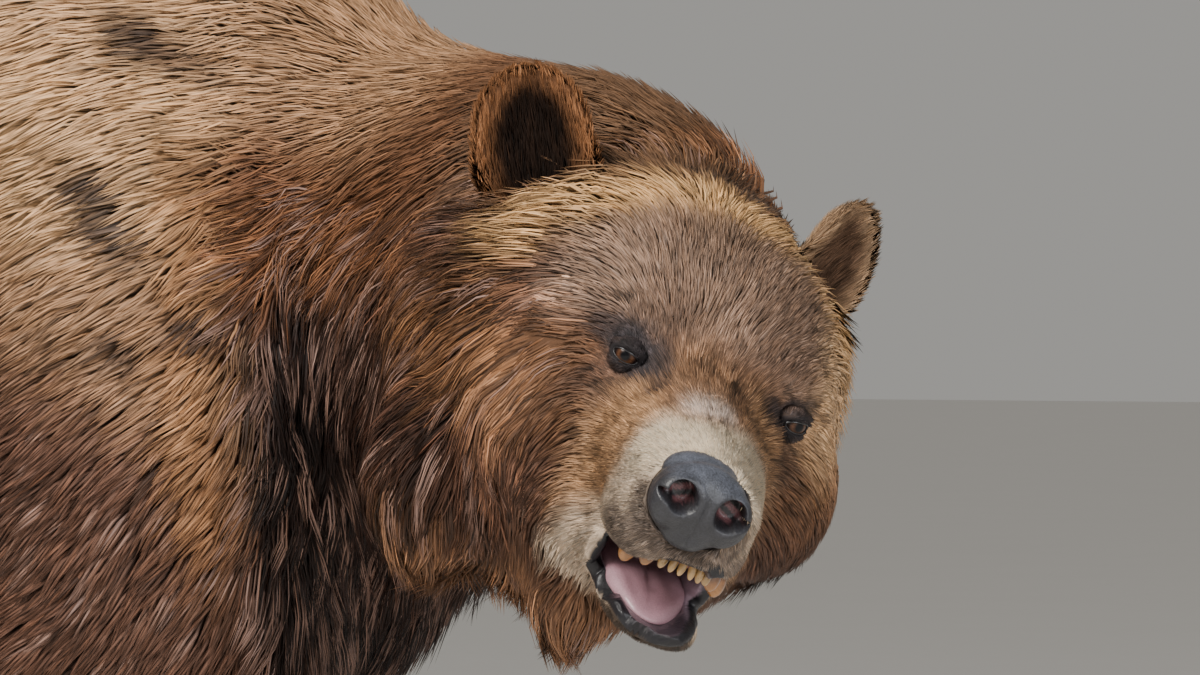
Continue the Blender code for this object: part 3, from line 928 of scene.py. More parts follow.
    def lidded(self, local: Array, side: int) -> Array:
        """Open the skin over one eyeball and lay lids round the opening.

        Args:
            local: The skin's places in the head's axes.
            side: 1 for the left eye, -1 for the right one.

        Returns:
            The new places.
        """
        eye = self.eye
        centre = np.array((self.axes.eye_forward, side * self.axes.half_span, 0.0))
        offset = local - centre
        own = offset @ eye.axes(side).T
        reach = np.linalg.norm(offset, axis=1)
        scale = eye.radius / np.maximum(reach, 1e-6)
        out = eye.opening(own[:, 1] * scale, own[:, 2] * scale)
        front = ease(0.1, 0.35, own[:, 0] / np.maximum(reach, 1e-6)) * ease(0.04, 0.028, reach)
        above = ease(-0.002, 0.003, own[:, 2])
        fold = 0.0014 * np.exp(-((out - 1.7) / 0.25) ** 2) - 0.001 * np.exp(-((out - 2.3) / 0.25) ** 2)
        fold = fold * above
        lid = eye.radius + eye.lid * ease(0.96, 1.1, out) * (1 + 0.6 * above) + fold
        wanted = np.where(out < 0.96, eye.radius - 0.003, lid)
        keep = ease(1.35, 2.7, out)
        radius = wanted * (1 - keep) + np.maximum(reach, eye.radius + 0.0012) * keep
        moved = centre + offset / np.maximum(reach, 1e-6)[:, None] * radius[:, None]
        return blend(local, moved, front)


@dataclass(frozen=True)
class Markings:
    """The animal's colours, the same for its skin and its coat.

    Attributes:
        axes: The head's axes.
        skin: The skin they lie on.
        gap_shades: The painted shade in gaps between locks on the shoulder: where, and how wide.
        sockets: The dark skin round the eyes: where, how wide and how strong.
    """

    axes: HeadAxes
    skin: Skin
    gap_shades: tuple = (
        ((0.31, -0.176, 0.902), 0.025), ((0.335, -0.184, 0.868), 0.022), ((0.391, -0.189, 0.808), 0.016),
        ((0.347, -0.208, 0.79), 0.016), ((0.322, -0.102, 1.009), 0.022), ((0.357, -0.097, 0.991), 0.018),
    )
    sockets: tuple = (
        ((0.014, 0.062, 0.002), 0.025, 0.95), ((0.028, 0.044, 0.0), 0.022, 0.9),
        ((0.004, 0.072, 0.01), 0.018, 0.8), ((0.02, 0.07, -0.024), 0.03, 0.45),
    )

    def head(self, local: Array) -> Array:
        """The colours of the head.

        Args:
            local: Places in the head's axes.

        Returns:
            A colour for each place.
        """
        x, left, z = local.T
        y = np.abs(left)
        wander = ripple(local, 0.06, 5) * 0.012
        half, ahead, height = wander * 0.5, x + wander, z + wander
        middle = np.abs(left + 0.01)
        jaw = np.linalg.norm(local - (0.04, -0.055, -0.132), axis=1)
        ridge = np.exp(-((x + 0.088 + wander * 0.6) / 0.018) ** 2) * ease(0.005, 0.055, z)
        bridge = np.exp(-((x - 0.08) / 0.013) ** 2) * ease(0.024, 0.008, middle) * ease(-0.03, -0.01, z)
        tint = layered(Paint.CHEEK, len(local), (
            # Painted light: the far side of the face, turned away from the key lamp, is painted lighter over its
            # golden colour.
            (Paint.FAR_CHEEK, ease(0.03, 0.08, left) * ease(-0.05, 0.0, height)),
            (Paint.FAR_RIM, ease(0.06, 0.09, left) * ease(-0.045, 0.01, height) * 0.85),
            (Paint.MANE, ease(-0.005, -0.07, ahead) * ease(0.045, -0.02, z) * ease(0.05, 0.0, left) * 0.95),
            (Paint.MANE, ease(-0.085, -0.13, ahead) * ease(0.075, 0.0, z)),
            (Paint.TEMPLE, ease(0.03, -0.03, height) * ease(-0.085, -0.035, height) * ease(0.06, 0.02, x)
             * 0.6),
            (Paint.BEARD, ease(-0.12, -0.17, height)),
            (Paint.CROWN, ease(-0.095, -0.115, ahead) * ease(0.02, 0.06, z)),
            (Paint.FOREHEAD, ease(-0.085, -0.06, ahead) * ease(0.0, 0.03, z) * ease(0.125, 0.085, y)
             * ease(0.085, 0.05, left)),
            (Paint.RIDGE, ridge * 0.85),
            (Paint.BROW, np.exp(-((x - 0.015) / 0.022) ** 2) * ease(0.012, 0.03, z)
             * ease(0.018, 0.035, y) * 0.7),
            (Paint.NASAL, ease(0.012, 0.04, x + half) * ease(-0.12, -0.08, z) * 0.85),
            (Paint.HONEY, ease(0.02, 0.05, x) * ease(0.022, 0.04, middle)
             * ease(-0.125, -0.09, height) * 0.8),
            (Paint.MUZZLE, ease(0.076, 0.112, x + wander * 0.6 + 0.04 * ease(-0.07, -0.1, z))),
            (Paint.CREAM, ease(0.092, 0.112, x + half) * ease(-0.06, -0.035, height) * 0.85),
            (Paint.BRIDGE, bridge * 0.75),
            (Paint.JAW, ease(0.034, 0.014, jaw + wander) * 0.9),
            (Paint.LIP_FUR, ease(-0.066, -0.084, z + half) * ease(0.1, 0.13, x) * 0.9),
            # Below the nose pad: the lip fur's colour, with painted shade beneath the nose.
            (Paint.LIP_FUR, ease(1.35, 1.05, self.skin.nose_reach(local)) * ease(-0.045, -0.06, z) * 0.85),
            # Under the chin: its dark fur, with painted shade beneath the jaw.
            (Paint.CHIN, ease(-0.148, -0.156, z) * ease(0.06, 0.085, x) * 0.95),
        ))
        mirrored = np.stack([x, y, z], 1)
        for place, reach, amount in self.sockets:
            away = np.linalg.norm(mirrored - place, axis=1) + half
            tint = blend(tint, Paint.SOCKET.rgb, ease(reach, reach * 0.45, away) * amount)
        return blend(tint, Paint.SOCKET.rgb, ease(0.008, 0.002, self.skin.lid_reach(local)) * 0.9)

    def gap_shaded(self, places: Array) -> list[tuple[Paint, Array]]:
        """The painted shade in gaps between locks on the shoulder, a little drawn out along the hair.

        Args:
            places: Places in the model's frame.

        Returns:
            Their colour, with how much of each mark covers each place.
        """
        marks = []
        for place, reach in self.gap_shades:
            apart = places - place - np.array((0.018, 0.0, 0.01))
            apart[:, 0] += 0.8 * apart[:, 2]
            apart[:, 1] = ease(-0.02, 0.02, places[:, 1])
            marks.append((Paint.SMUDGE, np.exp(-((apart ** 2).sum(1) / reach ** 2) ** 2) * 0.97))
        return marks

    def body(self, places: Array, weights: Array) -> Array:
        """The colours behind the head.

        Args:
            places: Places in the model's frame.
            weights: How much each zone counts at each place.

        Returns:
            A colour for each place.
        """
        x, _, z = places.T
        wander = ripple(places, 0.3, 9) * 0.05
        height, near = z + wander * 0.5, z + wander * 0.3
        back = ease(0.98, 1.06, z + wander) + ease(0.15, -0.2, x + wander)
        rust = np.exp(-((x + 0.1 * (z - 0.8) - 0.408) / 0.02) ** 2)
        fold = np.exp(-((x - 0.462) / 0.022) ** 2)
        trunk = layered(Paint.GOLD, len(places), (
            (Paint.GOLD_HIGH, ease(0.82, 0.93, height)),
            (Paint.BACK, np.clip(back, 0, 1) * 0.85),
            (Paint.FLANK, ease(0.845, 0.745, z + 0.27 * (x - 0.2) + wander * 0.5)),
            (Paint.FLANK, ease(-0.45, -0.85, x - 0.4 * (z - 0.9) + wander) * 0.75),
            (Paint.RUST, rust * ease(0.6, 0.7, z) * ease(0.97, 0.9, z) * 0.75),
            *self.gap_shaded(places),
        ))
        leg = blend(np.tile(Paint.LEG.rgb, (len(places), 1)), trunk, ease(0.42, 0.82, z + wander))
        # The neck's base is its dark wet fur, partly painted shade under the turned head.
        neck = layered(Paint.NECK, len(places), (
            (Paint.MANE, ease(0.49, 0.53, x + wander * 0.3)),
            (Paint.RUFF, ease(0.84, 0.9, near)),
            (Paint.BACK, ease(0.93, 0.99, near) * ease(0.6, 0.5, x) * 0.75),
            (Paint.CROWN, ease(0.9, 0.95, near) * ease(0.56, 0.64, x)),
            # Painted shade: dark along the fold under the head and towards the bottom of the neck.
            (Paint.THROAT, fold * ease(0.88, 0.82, z) * 0.6),
            (Paint.THROAT, ease(0.66, 0.58, z) * 0.8),
        ))
        table = {Zone.TRUNK: trunk, Zone.NECK: neck, Zone.TAIL: Paint.FLANK.rgb, Zone.PAW: Paint.PAW.rgb,
                 Zone.FORELEG: leg, Zone.HINDLEG: leg}
        total = np.zeros((len(places), 3))
        for zone, colour in table.items():
            total += np.broadcast_to(colour, total.shape) * weights[:, zone, None]
        return total / np.maximum(weights[:, list(table)].sum(1, keepdims=True), 1e-6)

    def coat(self) -> Array:
        """The colour of the coat.

        Returns:
            A colour for each vertex of the skin.
        """
        skin = self.skin
        on_head = skin.weights[:, Zone.HEAD]
        tint = blend(self.body(skin.outline, skin.weights), self.head(skin.local), ease(0.25, 0.75, on_head))
        return tint * (1 + 0.16 * ripple(skin.places, 0.11, 21))[:, None]

    def hide(self, coat: Array) -> Array:
        """The colour of the bare skin: the coat's own markings, darker as the hide's own dark colour and as
        painted shade beneath the hair, with the lips, mouth and pads.

        Args:
            coat: The coat's colours at the same vertices.

        Returns:
            A colour for each vertex.
        """
        skin = self.skin
        x, _, z = skin.local.T
        short = ease(-0.08, 0.03, x) * skin.weights[:, Zone.HEAD]
        dry = skin.weights[:, Zone.TRUNK]
        # Painted shade beneath the hair, over the hide's own dark colour: least under the short face fur and on
        # the trunk.
        tint = coat * (0.4 + 0.35 * short + 0.3 * dry)[:, None]
        tint = blend(tint, Paint.SOCKET.rgb * 0.5, ease(0.0045, 0.002, skin.lid_reach(skin.local)))
        lips = np.maximum(ease(0.35, 0.55, skin.lips), ease(1.02, 0.9, skin.nose_reach(skin.local)))
        tint = blend(tint, Paint.LIP.rgb, lips)
        # Painted shade: the lining darkens towards the back of the mouth and under the palate.
        deep = np.maximum(ease(0.07, 0.0, x), ease(-0.128, -0.118, z))
        lining = layered(Paint.GUM, len(coat), ((Paint.THROAT_FLESH, deep),))
        lower_lip = ease(-0.136, -0.146, z) * ease(0.06, 0.085, x)
        tint = blend(tint, lining, ease(0.5, 0.8, skin.inside) * (1 - 0.92 * lower_lip))
        return blend(tint, Paint.PAD.rgb, ease(0.012, 0.004, skin.places[:, 2]))


@dataclass
class Grooming:
    """Which way the coat lies on the skin, and how long, thick and loose it is.

    Attributes:
        skin: The skin the coat grows on.
        markings: Its colours.
        fan: The place ahead of the nose that the face's hair lies away from, in the head's axes.
        swirls: The seeds of the broad and of the small swirls.
    """

    skin: Skin
    markings: Markings
    fan: Triple = (0.185, 0.0, -0.035)
    swirls: tuple[tuple[int, int, int], tuple[int, int, int]] = ((31, 32, 33), (41, 42, 43))

    def on_face(self) -> Array:
        """The way the hair lies on the head: away from the nose, down the cheeks and off the ridge.

        Returns:
            A direction for each vertex of the skin.
        """
        axes = self.skin.axes
        x, left, z = self.skin.local.T
        spread = self.skin.local - self.fan
        spread[:, 1] *= 1.3
        spread = axes.turned(unit(spread))
        ridge = ease(-0.055, -0.085, x) * ease(-0.14, -0.11, x) * ease(0.02, 0.06, z)
        parting = left + 0.02
        lateral = np.stack([np.full(len(x), -0.45), np.sign(parting) * 0.9, np.full(len(x), -0.25)], 1)
        spread = blend(spread, axes.turned(lateral), ridge * ease(0.0, 0.03, np.abs(parting)) * 0.85)
        cheek = np.clip(ease(0.055, 0.11, np.abs(left)) + ease(-0.05, -0.13, z), 0, 1) * ease(0.06, -0.02, x)
        spread[:, 2] -= (0.75 + 1.5 * ease(0.01, -0.07, z)) * cheek
        spread[:, 0] -= 0.25 * cheek
        return spread

    def flow(self) -> Array:
        """The way the hair lies.

        Returns:
            A direction for each vertex of the skin.
        """
        skin = self.skin
        flow = skin.weights @ np.array([GROWTH[zone].flow for zone in Zone])
        x, _, z = skin.places.T
        trunk, neck, head = skin.weights[:, (Zone.TRUNK, Zone.NECK, Zone.HEAD)].T
        flow[:, 2] += trunk * ease(0.95, 1.07, z) * 0.3
        flow[:, 2] += trunk * ease(0.55, 0.48, z) * 0.3
        flow[:, 2] -= trunk * ease(0.75, 0.6, z) * ease(0.15, 0.4, x) * 0.5
        fold = neck * np.exp(-((x - 0.45) / 0.035) ** 2) * ease(0.9, 0.82, z) * 0.9
        flow = blend(unit(flow), np.array((-0.22, 0.0, -1.0)), fold)
        flow = blend(unit(flow), np.array((-1.0, -0.1, -0.3)), neck * ease(0.8, 0.92, z))
        head = ease(0.35, 0.85, head)
        flow = blend(unit(flow), unit(self.on_face()), head)
        broad, small = (np.stack([ripple(skin.places, size, seed) for seed in seeds], 1)
                        for size, seeds in zip((0.16, 0.035), self.swirls))
        flow = skin.net.spread(unit(flow) + broad * 0.16, 8)
        flow += small * (0.12 + 0.16 * head)[:, None]
        flow -= skin.normals * (flow * skin.normals).sum(1, keepdims=True)
        return unit(flow)

    def build(self) -> Pelage:
        """Work out the coat's growth.

        Returns:
            The growth at every vertex of the skin.
        """
        skin = self.skin
        local, places = skin.local, skin.places
        x, left, z = local.T
        y = np.abs(left)
        head, neck, paw = skin.weights[:, (Zone.HEAD, Zone.NECK, Zone.PAW)].T
        length, clump, wave, droop = (skin.weights @ np.array([getattr(GROWTH[zone], name) for zone in Zone])
                                      for name in ("length", "clump", "wave", "droop"))
        face = ease(-0.105, -0.07, x) * ease(0.095, 0.065, y) * ease(-0.075, -0.035, z)
        face = np.maximum(face, ease(0.01, 0.04, x)) * ease(0.5, 0.9, head)
        muzzle = ease(0.045, 0.085, x) * head
        beard = ease(-0.15, -0.185, z) * ease(0.075, 0.04, x) * head
        nape = neck * ease(0.86, 0.94, places[:, 2])
        cheek = ease(0.02, -0.025, x) * ease(0.07, 0.098, y) * ease(0.05, 0.0, z) * ease(0.05, 0.0, left)
        length = toward(length, 0.042 - 0.012 * ease(0.6, 0.66, places[:, 0]), nape)
        length = toward(length, 0.058, cheek * head)
        length = toward(length, 0.015, face)
        length = length + 0.005 * ease(0.02, 0.05, z) * face
        length = toward(length, 0.0085, muzzle)
        length = toward(length, 0.0045, ease(0.036, 0.016, skin.eye_distance(local)))
        length = toward(length, 0.06, beard)
        length = length * (1 - 0.3 * ease(0.0, 0.1, skin.net.spread(skin.lips, 5)))
        depth = np.linalg.norm(skin.outline - places, axis=1)
        from_ear = np.linalg.norm(np.stack([x + 0.13, np.abs(left + 0.03) - 0.11, z - 0.06], 1), axis=1)
        ear = np.where(left < 0, 1.0, 0.35) * ease(0.085, 0.05, from_ear) * head
        length = toward(length, 0.044, ear)
        rear = ease(-0.05, -0.11, x) * ease(0.05, 0.0, z) * head
        loft = np.clip(depth * 1.05, 0.0016, length * 0.62) + 0.02 * ear + 0.01 * rear
        view = ease(0.06, 0.18, places[:, 0]) * ease(0.4, 0.52, places[:, 2])
        view = view * ease(0.35, -0.05, skin.normals[:, 1])
        on_head = ease(0.3, 0.7, head)
        view = np.maximum(view, on_head)
        width = 0.0078 + (0.0046 - 0.0078) * view
        width = toward(width, 0.0024, np.maximum(neck * view, on_head))
        width = toward(width, 0.0016, np.maximum(face, muzzle))
        width = toward(width, 0.0042, paw)
        density = (3.0 + 5.0 * view) / (width * length * 0.55)
        bare = ease(0.6, 0.45, skin.lips) * ease(0.0016, 0.003, skin.lid_reach(local))
        bare *= ease(0.002, 0.01, places[:, 2])
        bare *= ease(0.72, 0.8, skin.nose_reach(local))
        pad = ((left + 0.017) / 0.034) ** 2 + ((z + 0.053) / 0.028) ** 2
        bare *= 1 - ease(1.0, 0.85, pad) * ease(0.125, 0.135, x)
        clump = clump * (1 - 0.45 * face) * (1 - 0.6 * muzzle) * (1 - 0.5 * nape)
        long_hair = ease(0.04, 0.055, length)
        clump = toward(clump, 0.84, long_hair * head)
        wave = wave * (1 - face) * (1 - 0.7 * nape) + 0.0028 * long_hair * head
        return Pelage(self.flow(), length, width, loft, clump, wave, droop + 0.25 * beard,
                      self.markings.coat(), np.where(bare > 0.4, density * bare, 0.0))


class Chart:
    """A flat layout of a surface's own shape, on which each tuft finds its small patch."""

    def __init__(self, mesh: Mesh, voxel: float) -> None:
        """Unwrap a coarse copy.

        Args:
            mesh: The surface.
            voxel: The size of the coarse copy's faces.
        """
        coarse = recast(mesh.copy(), voxel)
        holder = shown("chart", coarse)
        bpy.context.view_layer.objects.active = holder
        holder.select_set(True)
        bpy.ops.object.mode_set(mode="EDIT")
        bpy.ops.mesh.select_all(action="SELECT")
        bpy.ops.uv.smart_project(angle_limit=math.radians(66), island_margin=0.004)
        bpy.ops.object.mode_set(mode="OBJECT")
        self.surface = Surface(coarse)
        self.uv = fetch(coarse.uv_layers.active.data, "uv", 2, np.float32)[self.surface.loops]
        bpy.data.objects.remove(holder)
        bpy.data.meshes.remove(coarse)

    def patch(self, places: Array) -> Array:
        """Where each place lies on the layout.

        Args:
            places: Places on or near the surface.

        Returns:
            A place on the layout for each.
        """
        found, triangles = self.surface.nearest(places)
        weights = self.surface.shares(found, triangles)
        return np.clip((self.uv[triangles] * weights[:, :, None]).sum(1), 0.002, 0.998)


@dataclass
class Coat:
    """Hair grown as small closed tufts on one surface.

    Attributes:
        surface: The surface.
        pelage: How the hair grows on it.
        chart: The surface's flat layout.
        seed: The source of chance.
        patch: How wide a tuft's patch of the layout is.
        flatness: How thick a tuft is for its width.
    """

    surface: Surface
    pelage: Pelage
    chart: Chart
    seed: int = 7
    patch: float = 0.003
    flatness: float = 0.26

    def count(self, mask: Array, most: int) -> tuple[Array, int]:
        """How densely each triangle is sown and how many tufts that makes.

        Args:
            mask: Which triangles this piece covers.
            most: The most tufts it may have.

        Returns:
            The weight of each triangle and the number of tufts.
        """
        weights = self.pelage.density[self.surface.triangles].mean(1) * mask
        return weights, int(min(most, (weights * self.surface.areas).sum()))

    def grow(self, name: str, mask: Array, hair: Hair, most: int, spacing: float,
             tone: float = 0.14, sheen_share: float = 0.0) -> Mesh:
        """Grow one piece of the coat.

        Args:
            name: The mesh's name.
            mask: Which triangles of the surface it covers.
            hair: How finely each tuft is made.
            most: The most tufts it may have.
            spacing: How far the points lie apart that tufts run together to.
            tone: How much tufts differ in lightness.
            sheen_share: The share of locks that take a painted sheen, a pale highlight painted in as wet hair
                shines.

        Returns:
            The mesh of tufts, with its colours and its map.
        """
        rng = np.random.default_rng(self.seed + sum(map(ord, name)))
        surface, pelage = self.surface, self.pelage
        weights, count = self.count(mask, most)
        wanted = (weights * surface.areas).sum()
        root, triangle, share = surface.sow(weights, count, rng)

        def at(values: Array, where: Array = triangle, how: Array = share) -> Array:
            """A value of the growth at each tuft."""
            return surface.read(values, where, how)

        normal, flow = unit(at(surface.normals)), unit(at(pelage.flow))
        length = at(pelage.length) * rng.uniform(0.72, 1.22, count)
        width = at(pelage.width) * rng.uniform(0.75, 1.2, count) * min(1.6, math.sqrt(wanted / max(count, 1)))
        loft = at(pelage.loft)
        side = np.cross(flow, normal)
        flow = unit(flow + side * rng.normal(0, 0.12, count)[:, None])
        half, half_triangle = surface.nearest(root + flow * (length * 0.5)[:, None])
        half_share = surface.shares(half, half_triangle)
        half_normal = unit(at(surface.normals, half_triangle, half_share))
        half_flow = unit(at(pelage.flow, half_triangle, half_share) * 0.6 + flow * 0.6)
        end, end_triangle = surface.nearest(half + half_flow * (length * 0.5)[:, None])
        end_normal = unit(at(surface.normals, end_triangle, surface.shares(end, end_triangle)))
        rise = rng.uniform(0.6, 1.15, count)
        middle = half + half_normal * (loft * 0.62 * rise)[:, None]
        tip = end + end_normal * (loft * rise)[:, None]
        tip[:, 2] -= at(pelage.droop) * length
        root = root - normal * 0.001
        locks = int(np.clip((mask * surface.areas * (weights > 0)).sum() / spacing ** 2, 1, count))
        guides = rng.choice(count, locks, replace=False)
        tree = KDTree(len(guides))
        for guide in guides:
            tree.insert(root[guide], int(guide))
        tree.balance()
        leader = np.array([tree.find(place)[1] for place in root])
        clump = (at(pelage.clump) * rng.uniform(0.6, 1.0, count))[:, None]
        apart = root - root[leader]
        tip = tip + (tip[leader] + apart * 0.12 - tip) * clump
        middle = middle + (middle[leader] + apart * 0.55 - middle) * clump * 0.6
        swing = at(pelage.wave)[:, None] * side
        phase = (ripple(root[leader], 0.1, 61) * 5.0 + rng.normal(0, 0.35, count)[leader])[:, None]
        rings = hair.value
        bow = 2 * middle - (root + tip) / 2
        spine = []
        for ring in range(rings + 1):
            t = ring / rings
            curve = (1 - t) ** 2 * root + 2 * t * (1 - t) * bow + t * t * tip
            spine.append(curve + swing * (np.sin(phase + t * 5.0) - np.sin(phase) * (1 - t)) * t ** 0.6)
        lightness = np.exp(rng.normal(0, tone, count)) * np.exp(rng.normal(0, tone * 0.9, count))[leader]
        lightness *= np.where(rng.uniform(size=count) < 0.035, 0.5, 1.0)[leader]
        tint = at(pelage.tint)
        tint = tint * np.minimum(lightness, 0.9 / np.maximum(tint.max(1), 1e-6))[:, None]
        # Painted sheen: some locks are blended towards a pale mauve, a highlight painted into their colour.
        sheen_amount = (rng.uniform(size=count) < sheen_share)[leader] * rng.uniform(0.3, 0.9, count)
        sheen_amount = sheen_amount * ease(0.22, 0.12, tint[:, 0])
        tint = blend(tint, Paint.SILVER.rgb, sheen_amount)
        warm = rng.normal(0, 0.05, count)[:, None]
        tint = tint * (1 + warm * np.array((0.6, 0.0, -0.8)))
        return self.mesh(name, spine, normal, width, tint, self.chart.patch(root), rng.uniform(size=count))

    def mesh(self, name: str, spine: list[Array], normal: Array, width: Array,
             tint: Array, centre: Array, chance: Array) -> Mesh:
        """Make the tufts' faces: rings of three round the spine, closed at the root and drawn to a point.

        Args:
            name: The mesh's name.
            spine: The tufts' centre lines, root first and point last.
            normal: The skin's outward direction at each root.
            width: Each tuft's width.
            tint: Each tuft's colour.
            centre: Where each tuft's patch lies on its map.
            chance: A number from 0 to 1 of its own for each tuft.

        Returns:
            The joined mesh.
        """
        rings, count = len(spine) - 1, len(width)
        size = rings * 3 + 1
        places = np.zeros((count, size, 3))
        colours = np.ones((count, size, 4), np.float32)
        strand = np.zeros((count, size, 3), np.float32)
        uv = np.zeros((count, size, 2), np.float32)
        girth = {1: (1.0,), 2: (0.95, 0.8), 4: (0.75, 0.95, 0.85, 0.55)}[rings]
        for ring in range(rings):
            ahead = unit(spine[ring + 1] - spine[max(ring - 1, 0)])
            side = unit(np.cross(ahead, normal))
            up = np.cross(side, ahead)
            reach = (width * 0.5 * girth[ring])[:, None]
            for corner in range(3):
                spot, angle = ring * 3 + corner, math.radians(90 + 120 * corner)
                out = side * math.cos(angle) + up * math.sin(angle) * self.flatness
                places[:, spot] = spine[ring] + out * reach
                strand[:, spot] = np.stack([np.full(count, corner / 3), np.full(count, ring / rings), chance], 1)
                uv[:, spot] = centre + ((corner - 1) * self.patch / 3, (ring / rings - 0.5) * self.patch)
            # Painted shade: the root ring is darker, where tufts shade one another near the skin.
            shade = (0.62 if rings > 1 else 0.74) if ring == 0 else 0.95
            colours[:, ring * 3:ring * 3 + 3, :3] = (tint * shade)[:, None, :]
        places[:, -1] = spine[-1]
        strand[:, -1] = np.stack([np.full(count, 0.5), np.ones(count), chance], 1)
        uv[:, -1] = centre + (0.0, self.patch / 2)
        # The point is lighter: partly the hair's own pale tips, partly painted sheen.
        colours[:, -1, :3] = tint * np.minimum(1.4, 0.95 / np.maximum(tint.max(1), 1e-6))[:, None]
        faces = [(0, 2, 1)]
        for ring in range(rings - 1):
            for corner in range(3):
                a, b = ring * 3 + corner, ring * 3 + (corner + 1) % 3
                faces += [(a, b, b + 3), (a, b + 3, a + 3)]
        last = (rings - 1) * 3
        faces += [(last + corner, last + (corner + 1) % 3, size - 1) for corner in range(3)]
        pattern = np.array(faces)
        loops = (pattern[None] + (np.arange(count) * size)[:, None, None]).ravel()
        total = count * len(pattern)
        mesh = bpy.data.meshes.new(name)
        mesh.vertices.add(count * size)
        mesh.vertices.foreach_set("co", places.astype(np.float32).ravel())
        mesh.loops.add(total * 3)
        mesh.loops.foreach_set("vertex_index", loops.astype(np.int32))
        mesh.polygons.add(total)
        mesh.polygons.foreach_set("loop_start", np.arange(0, total * 3, 3, dtype=np.int32))
        mesh.update(calc_edges=True)
        store(mesh, "tint", "FLOAT_COLOR", colours)
        store(mesh, "strand", "FLOAT_VECTOR", strand)
        store(mesh, "lie", "FLOAT_VECTOR", np.repeat(normal, size, 0))
        layer = mesh.uv_layers.new(name="OFBake")
        layer.data.foreach_set("uv", uv.reshape(-1, 2)[loops].ravel())
        return mesh


class Board:
    """A node tree, with short ways to add nodes and feed them."""

    def __init__(self, tree: NodeTree) -> None:
        """Take a tree to work on."""
        self.tree = tree

    def feed(self, node: Node, inputs: dict[str | int, object]) -> None:
        """Set a node's inputs.

        Args:
            node: The node.
            inputs: A plain value, or the socket to join, for each input by name or number.
        """
        for key, value in inputs.items():
            if isinstance(value, NodeSocket):
                self.tree.links.new(value, node.inputs[key])
            else:
                node.inputs[key].default_value = value

    def add(self, kind: str, inputs: dict[str | int, object] | None = None,
            **settings: object) -> Node:
        """Add a node.

        Args:
            kind: The node's type, such as Math.
            inputs: What its inputs hold or are joined to.
            **settings: Its options.

        Returns:
            The node.
        """
        node = self.tree.nodes.new("ShaderNode" + kind)
        for key, value in settings.items():
            setattr(node, key, value)
        self.feed(node, inputs or {})
        return node

    def sums(self, operation: str, first: object, second: object) -> NodeSocket:
        """The result of a Math node of two values or sockets."""
        return self.add("Math", {0: first, 1: second}, operation=operation).outputs[0]

    def lit(self, colour: object, amount: object) -> NodeSocket:
        """A colour made lighter or darker by an amount."""
        return self.add("VectorMath", {0: colour, "Scale": amount}, operation="SCALE").outputs[0]

    def own(self, name: str) -> Node:
        """The piece's own attribute of a name."""
        return self.add("Attribute", attribute_name=name)


def effect(name: str, inputs: dict[str, tuple[str, object]],
           outputs: dict[str, str]) -> tuple[Board, Node, Node]:
    """Start a node group that several materials share.

    Args:
        name: The group's name.
        inputs: The socket type and default of each input.
        outputs: The socket type of each output.

    Returns:
        A board on the group, and its input and output nodes.
    """
    tree = bpy.data.node_groups.new(name, "ShaderNodeTree")
    for label, (kind, value) in inputs.items():
        socket = tree.interface.new_socket(name=label, in_out="INPUT", socket_type="NodeSocket" + kind)
        socket.default_value = value
    for label, kind in outputs.items():
        tree.interface.new_socket(name=label, in_out="OUTPUT", socket_type="NodeSocket" + kind)
    board = Board(tree)
    return board, tree.nodes.new("NodeGroupInput"), tree.nodes.new("NodeGroupOutput")


def grain() -> NodeTree:
    """The mottling and fine grain that living surfaces share, built once.

    Returns:
        The node group.
    """
    if "grain" in bpy.data.node_groups:
        return bpy.data.node_groups["grain"]
    board, start, end = effect(
        "grain", {"Colour": ("Color", (0.5, 0.5, 0.5, 1)), "Size": ("Float", 200.0),
                  "Amount": ("Float", 0.3), "Stretch": ("Vector", (1, 1, 1))},
        {"Colour": "Color", "Height": "Float", "Roughness": "Float"})
    place, size = board.add("TexCoord").outputs["Object"], start.outputs["Size"]
    stretch = board.add("VectorMath", {0: place, 1: start.outputs["Stretch"]}, operation="MULTIPLY")
    fine = board.add("TexNoise", {"Detail": 5, "Vector": stretch.outputs[0], "Scale": size})
    fine, wide = fine.outputs[0], board.sums("MULTIPLY", size, 0.11)
    broad = board.add("TexNoise", {"Vector": place, "Scale": wide}).outputs[0]
    both = board.sums("ADD", board.sums("MULTIPLY", fine, 0.6), board.sums("MULTIPLY", broad, 0.4))
    swing = board.sums("MULTIPLY", board.sums("SUBTRACT", both, 0.5), start.outputs["Amount"])
    amount = board.sums("ADD", 1.0, board.sums("MULTIPLY", swing, 3.0))
    board.feed(end, {"Colour": board.lit(start.outputs["Colour"], amount), "Height": fine,
                     "Roughness": board.sums("ADD", 0.5, swing)})
    return board.tree


def streaks() -> NodeTree:
    """Fine lines that run along each tuft, from its own strand attribute, built once.

    Returns:
        The node group.
    """
    if "streaks" in bpy.data.node_groups:
        return bpy.data.node_groups["streaks"]
    board, start, end = effect(
        "streaks", {"Lines": ("Float", 9.0), "Amount": ("Float", 0.3),
                    "Softness": ("Float", 0.6)},
        {"Shade": "Float", "Height": "Float", "Normal": "Vector"})
    strand = board.own("strand").outputs["Vector"]
    round_, along, chance = board.add("SeparateXYZ", {0: strand}).outputs
    gather = board.add("CombineXYZ", {
        0: board.sums("MULTIPLY", round_, start.outputs["Lines"]),
        1: board.sums("MULTIPLY", along, 1.6),
        2: board.sums("MULTIPLY", chance, 60.0)})
    noise = board.add("TexNoise", {"Scale": 1.0, "Vector": gather.outputs[0]}).outputs[0]
    swing = board.sums("MULTIPLY", board.sums("SUBTRACT", noise, 0.5), start.outputs["Amount"])
    soft = board.add("Mix", {
        0: start.outputs["Softness"],
        4: board.add("NewGeometry").outputs["Normal"],
        5: board.own("lie").outputs["Vector"]}, data_type="VECTOR")
    even = board.add("VectorMath", {0: soft.outputs[1]}, operation="NORMALIZE")
    board.feed(end, {"Shade": board.sums("ADD", 1.0, board.sums("MULTIPLY", swing, 2.0)), "Height": noise,
                     "Normal": even.outputs[0]})
    return board.tree


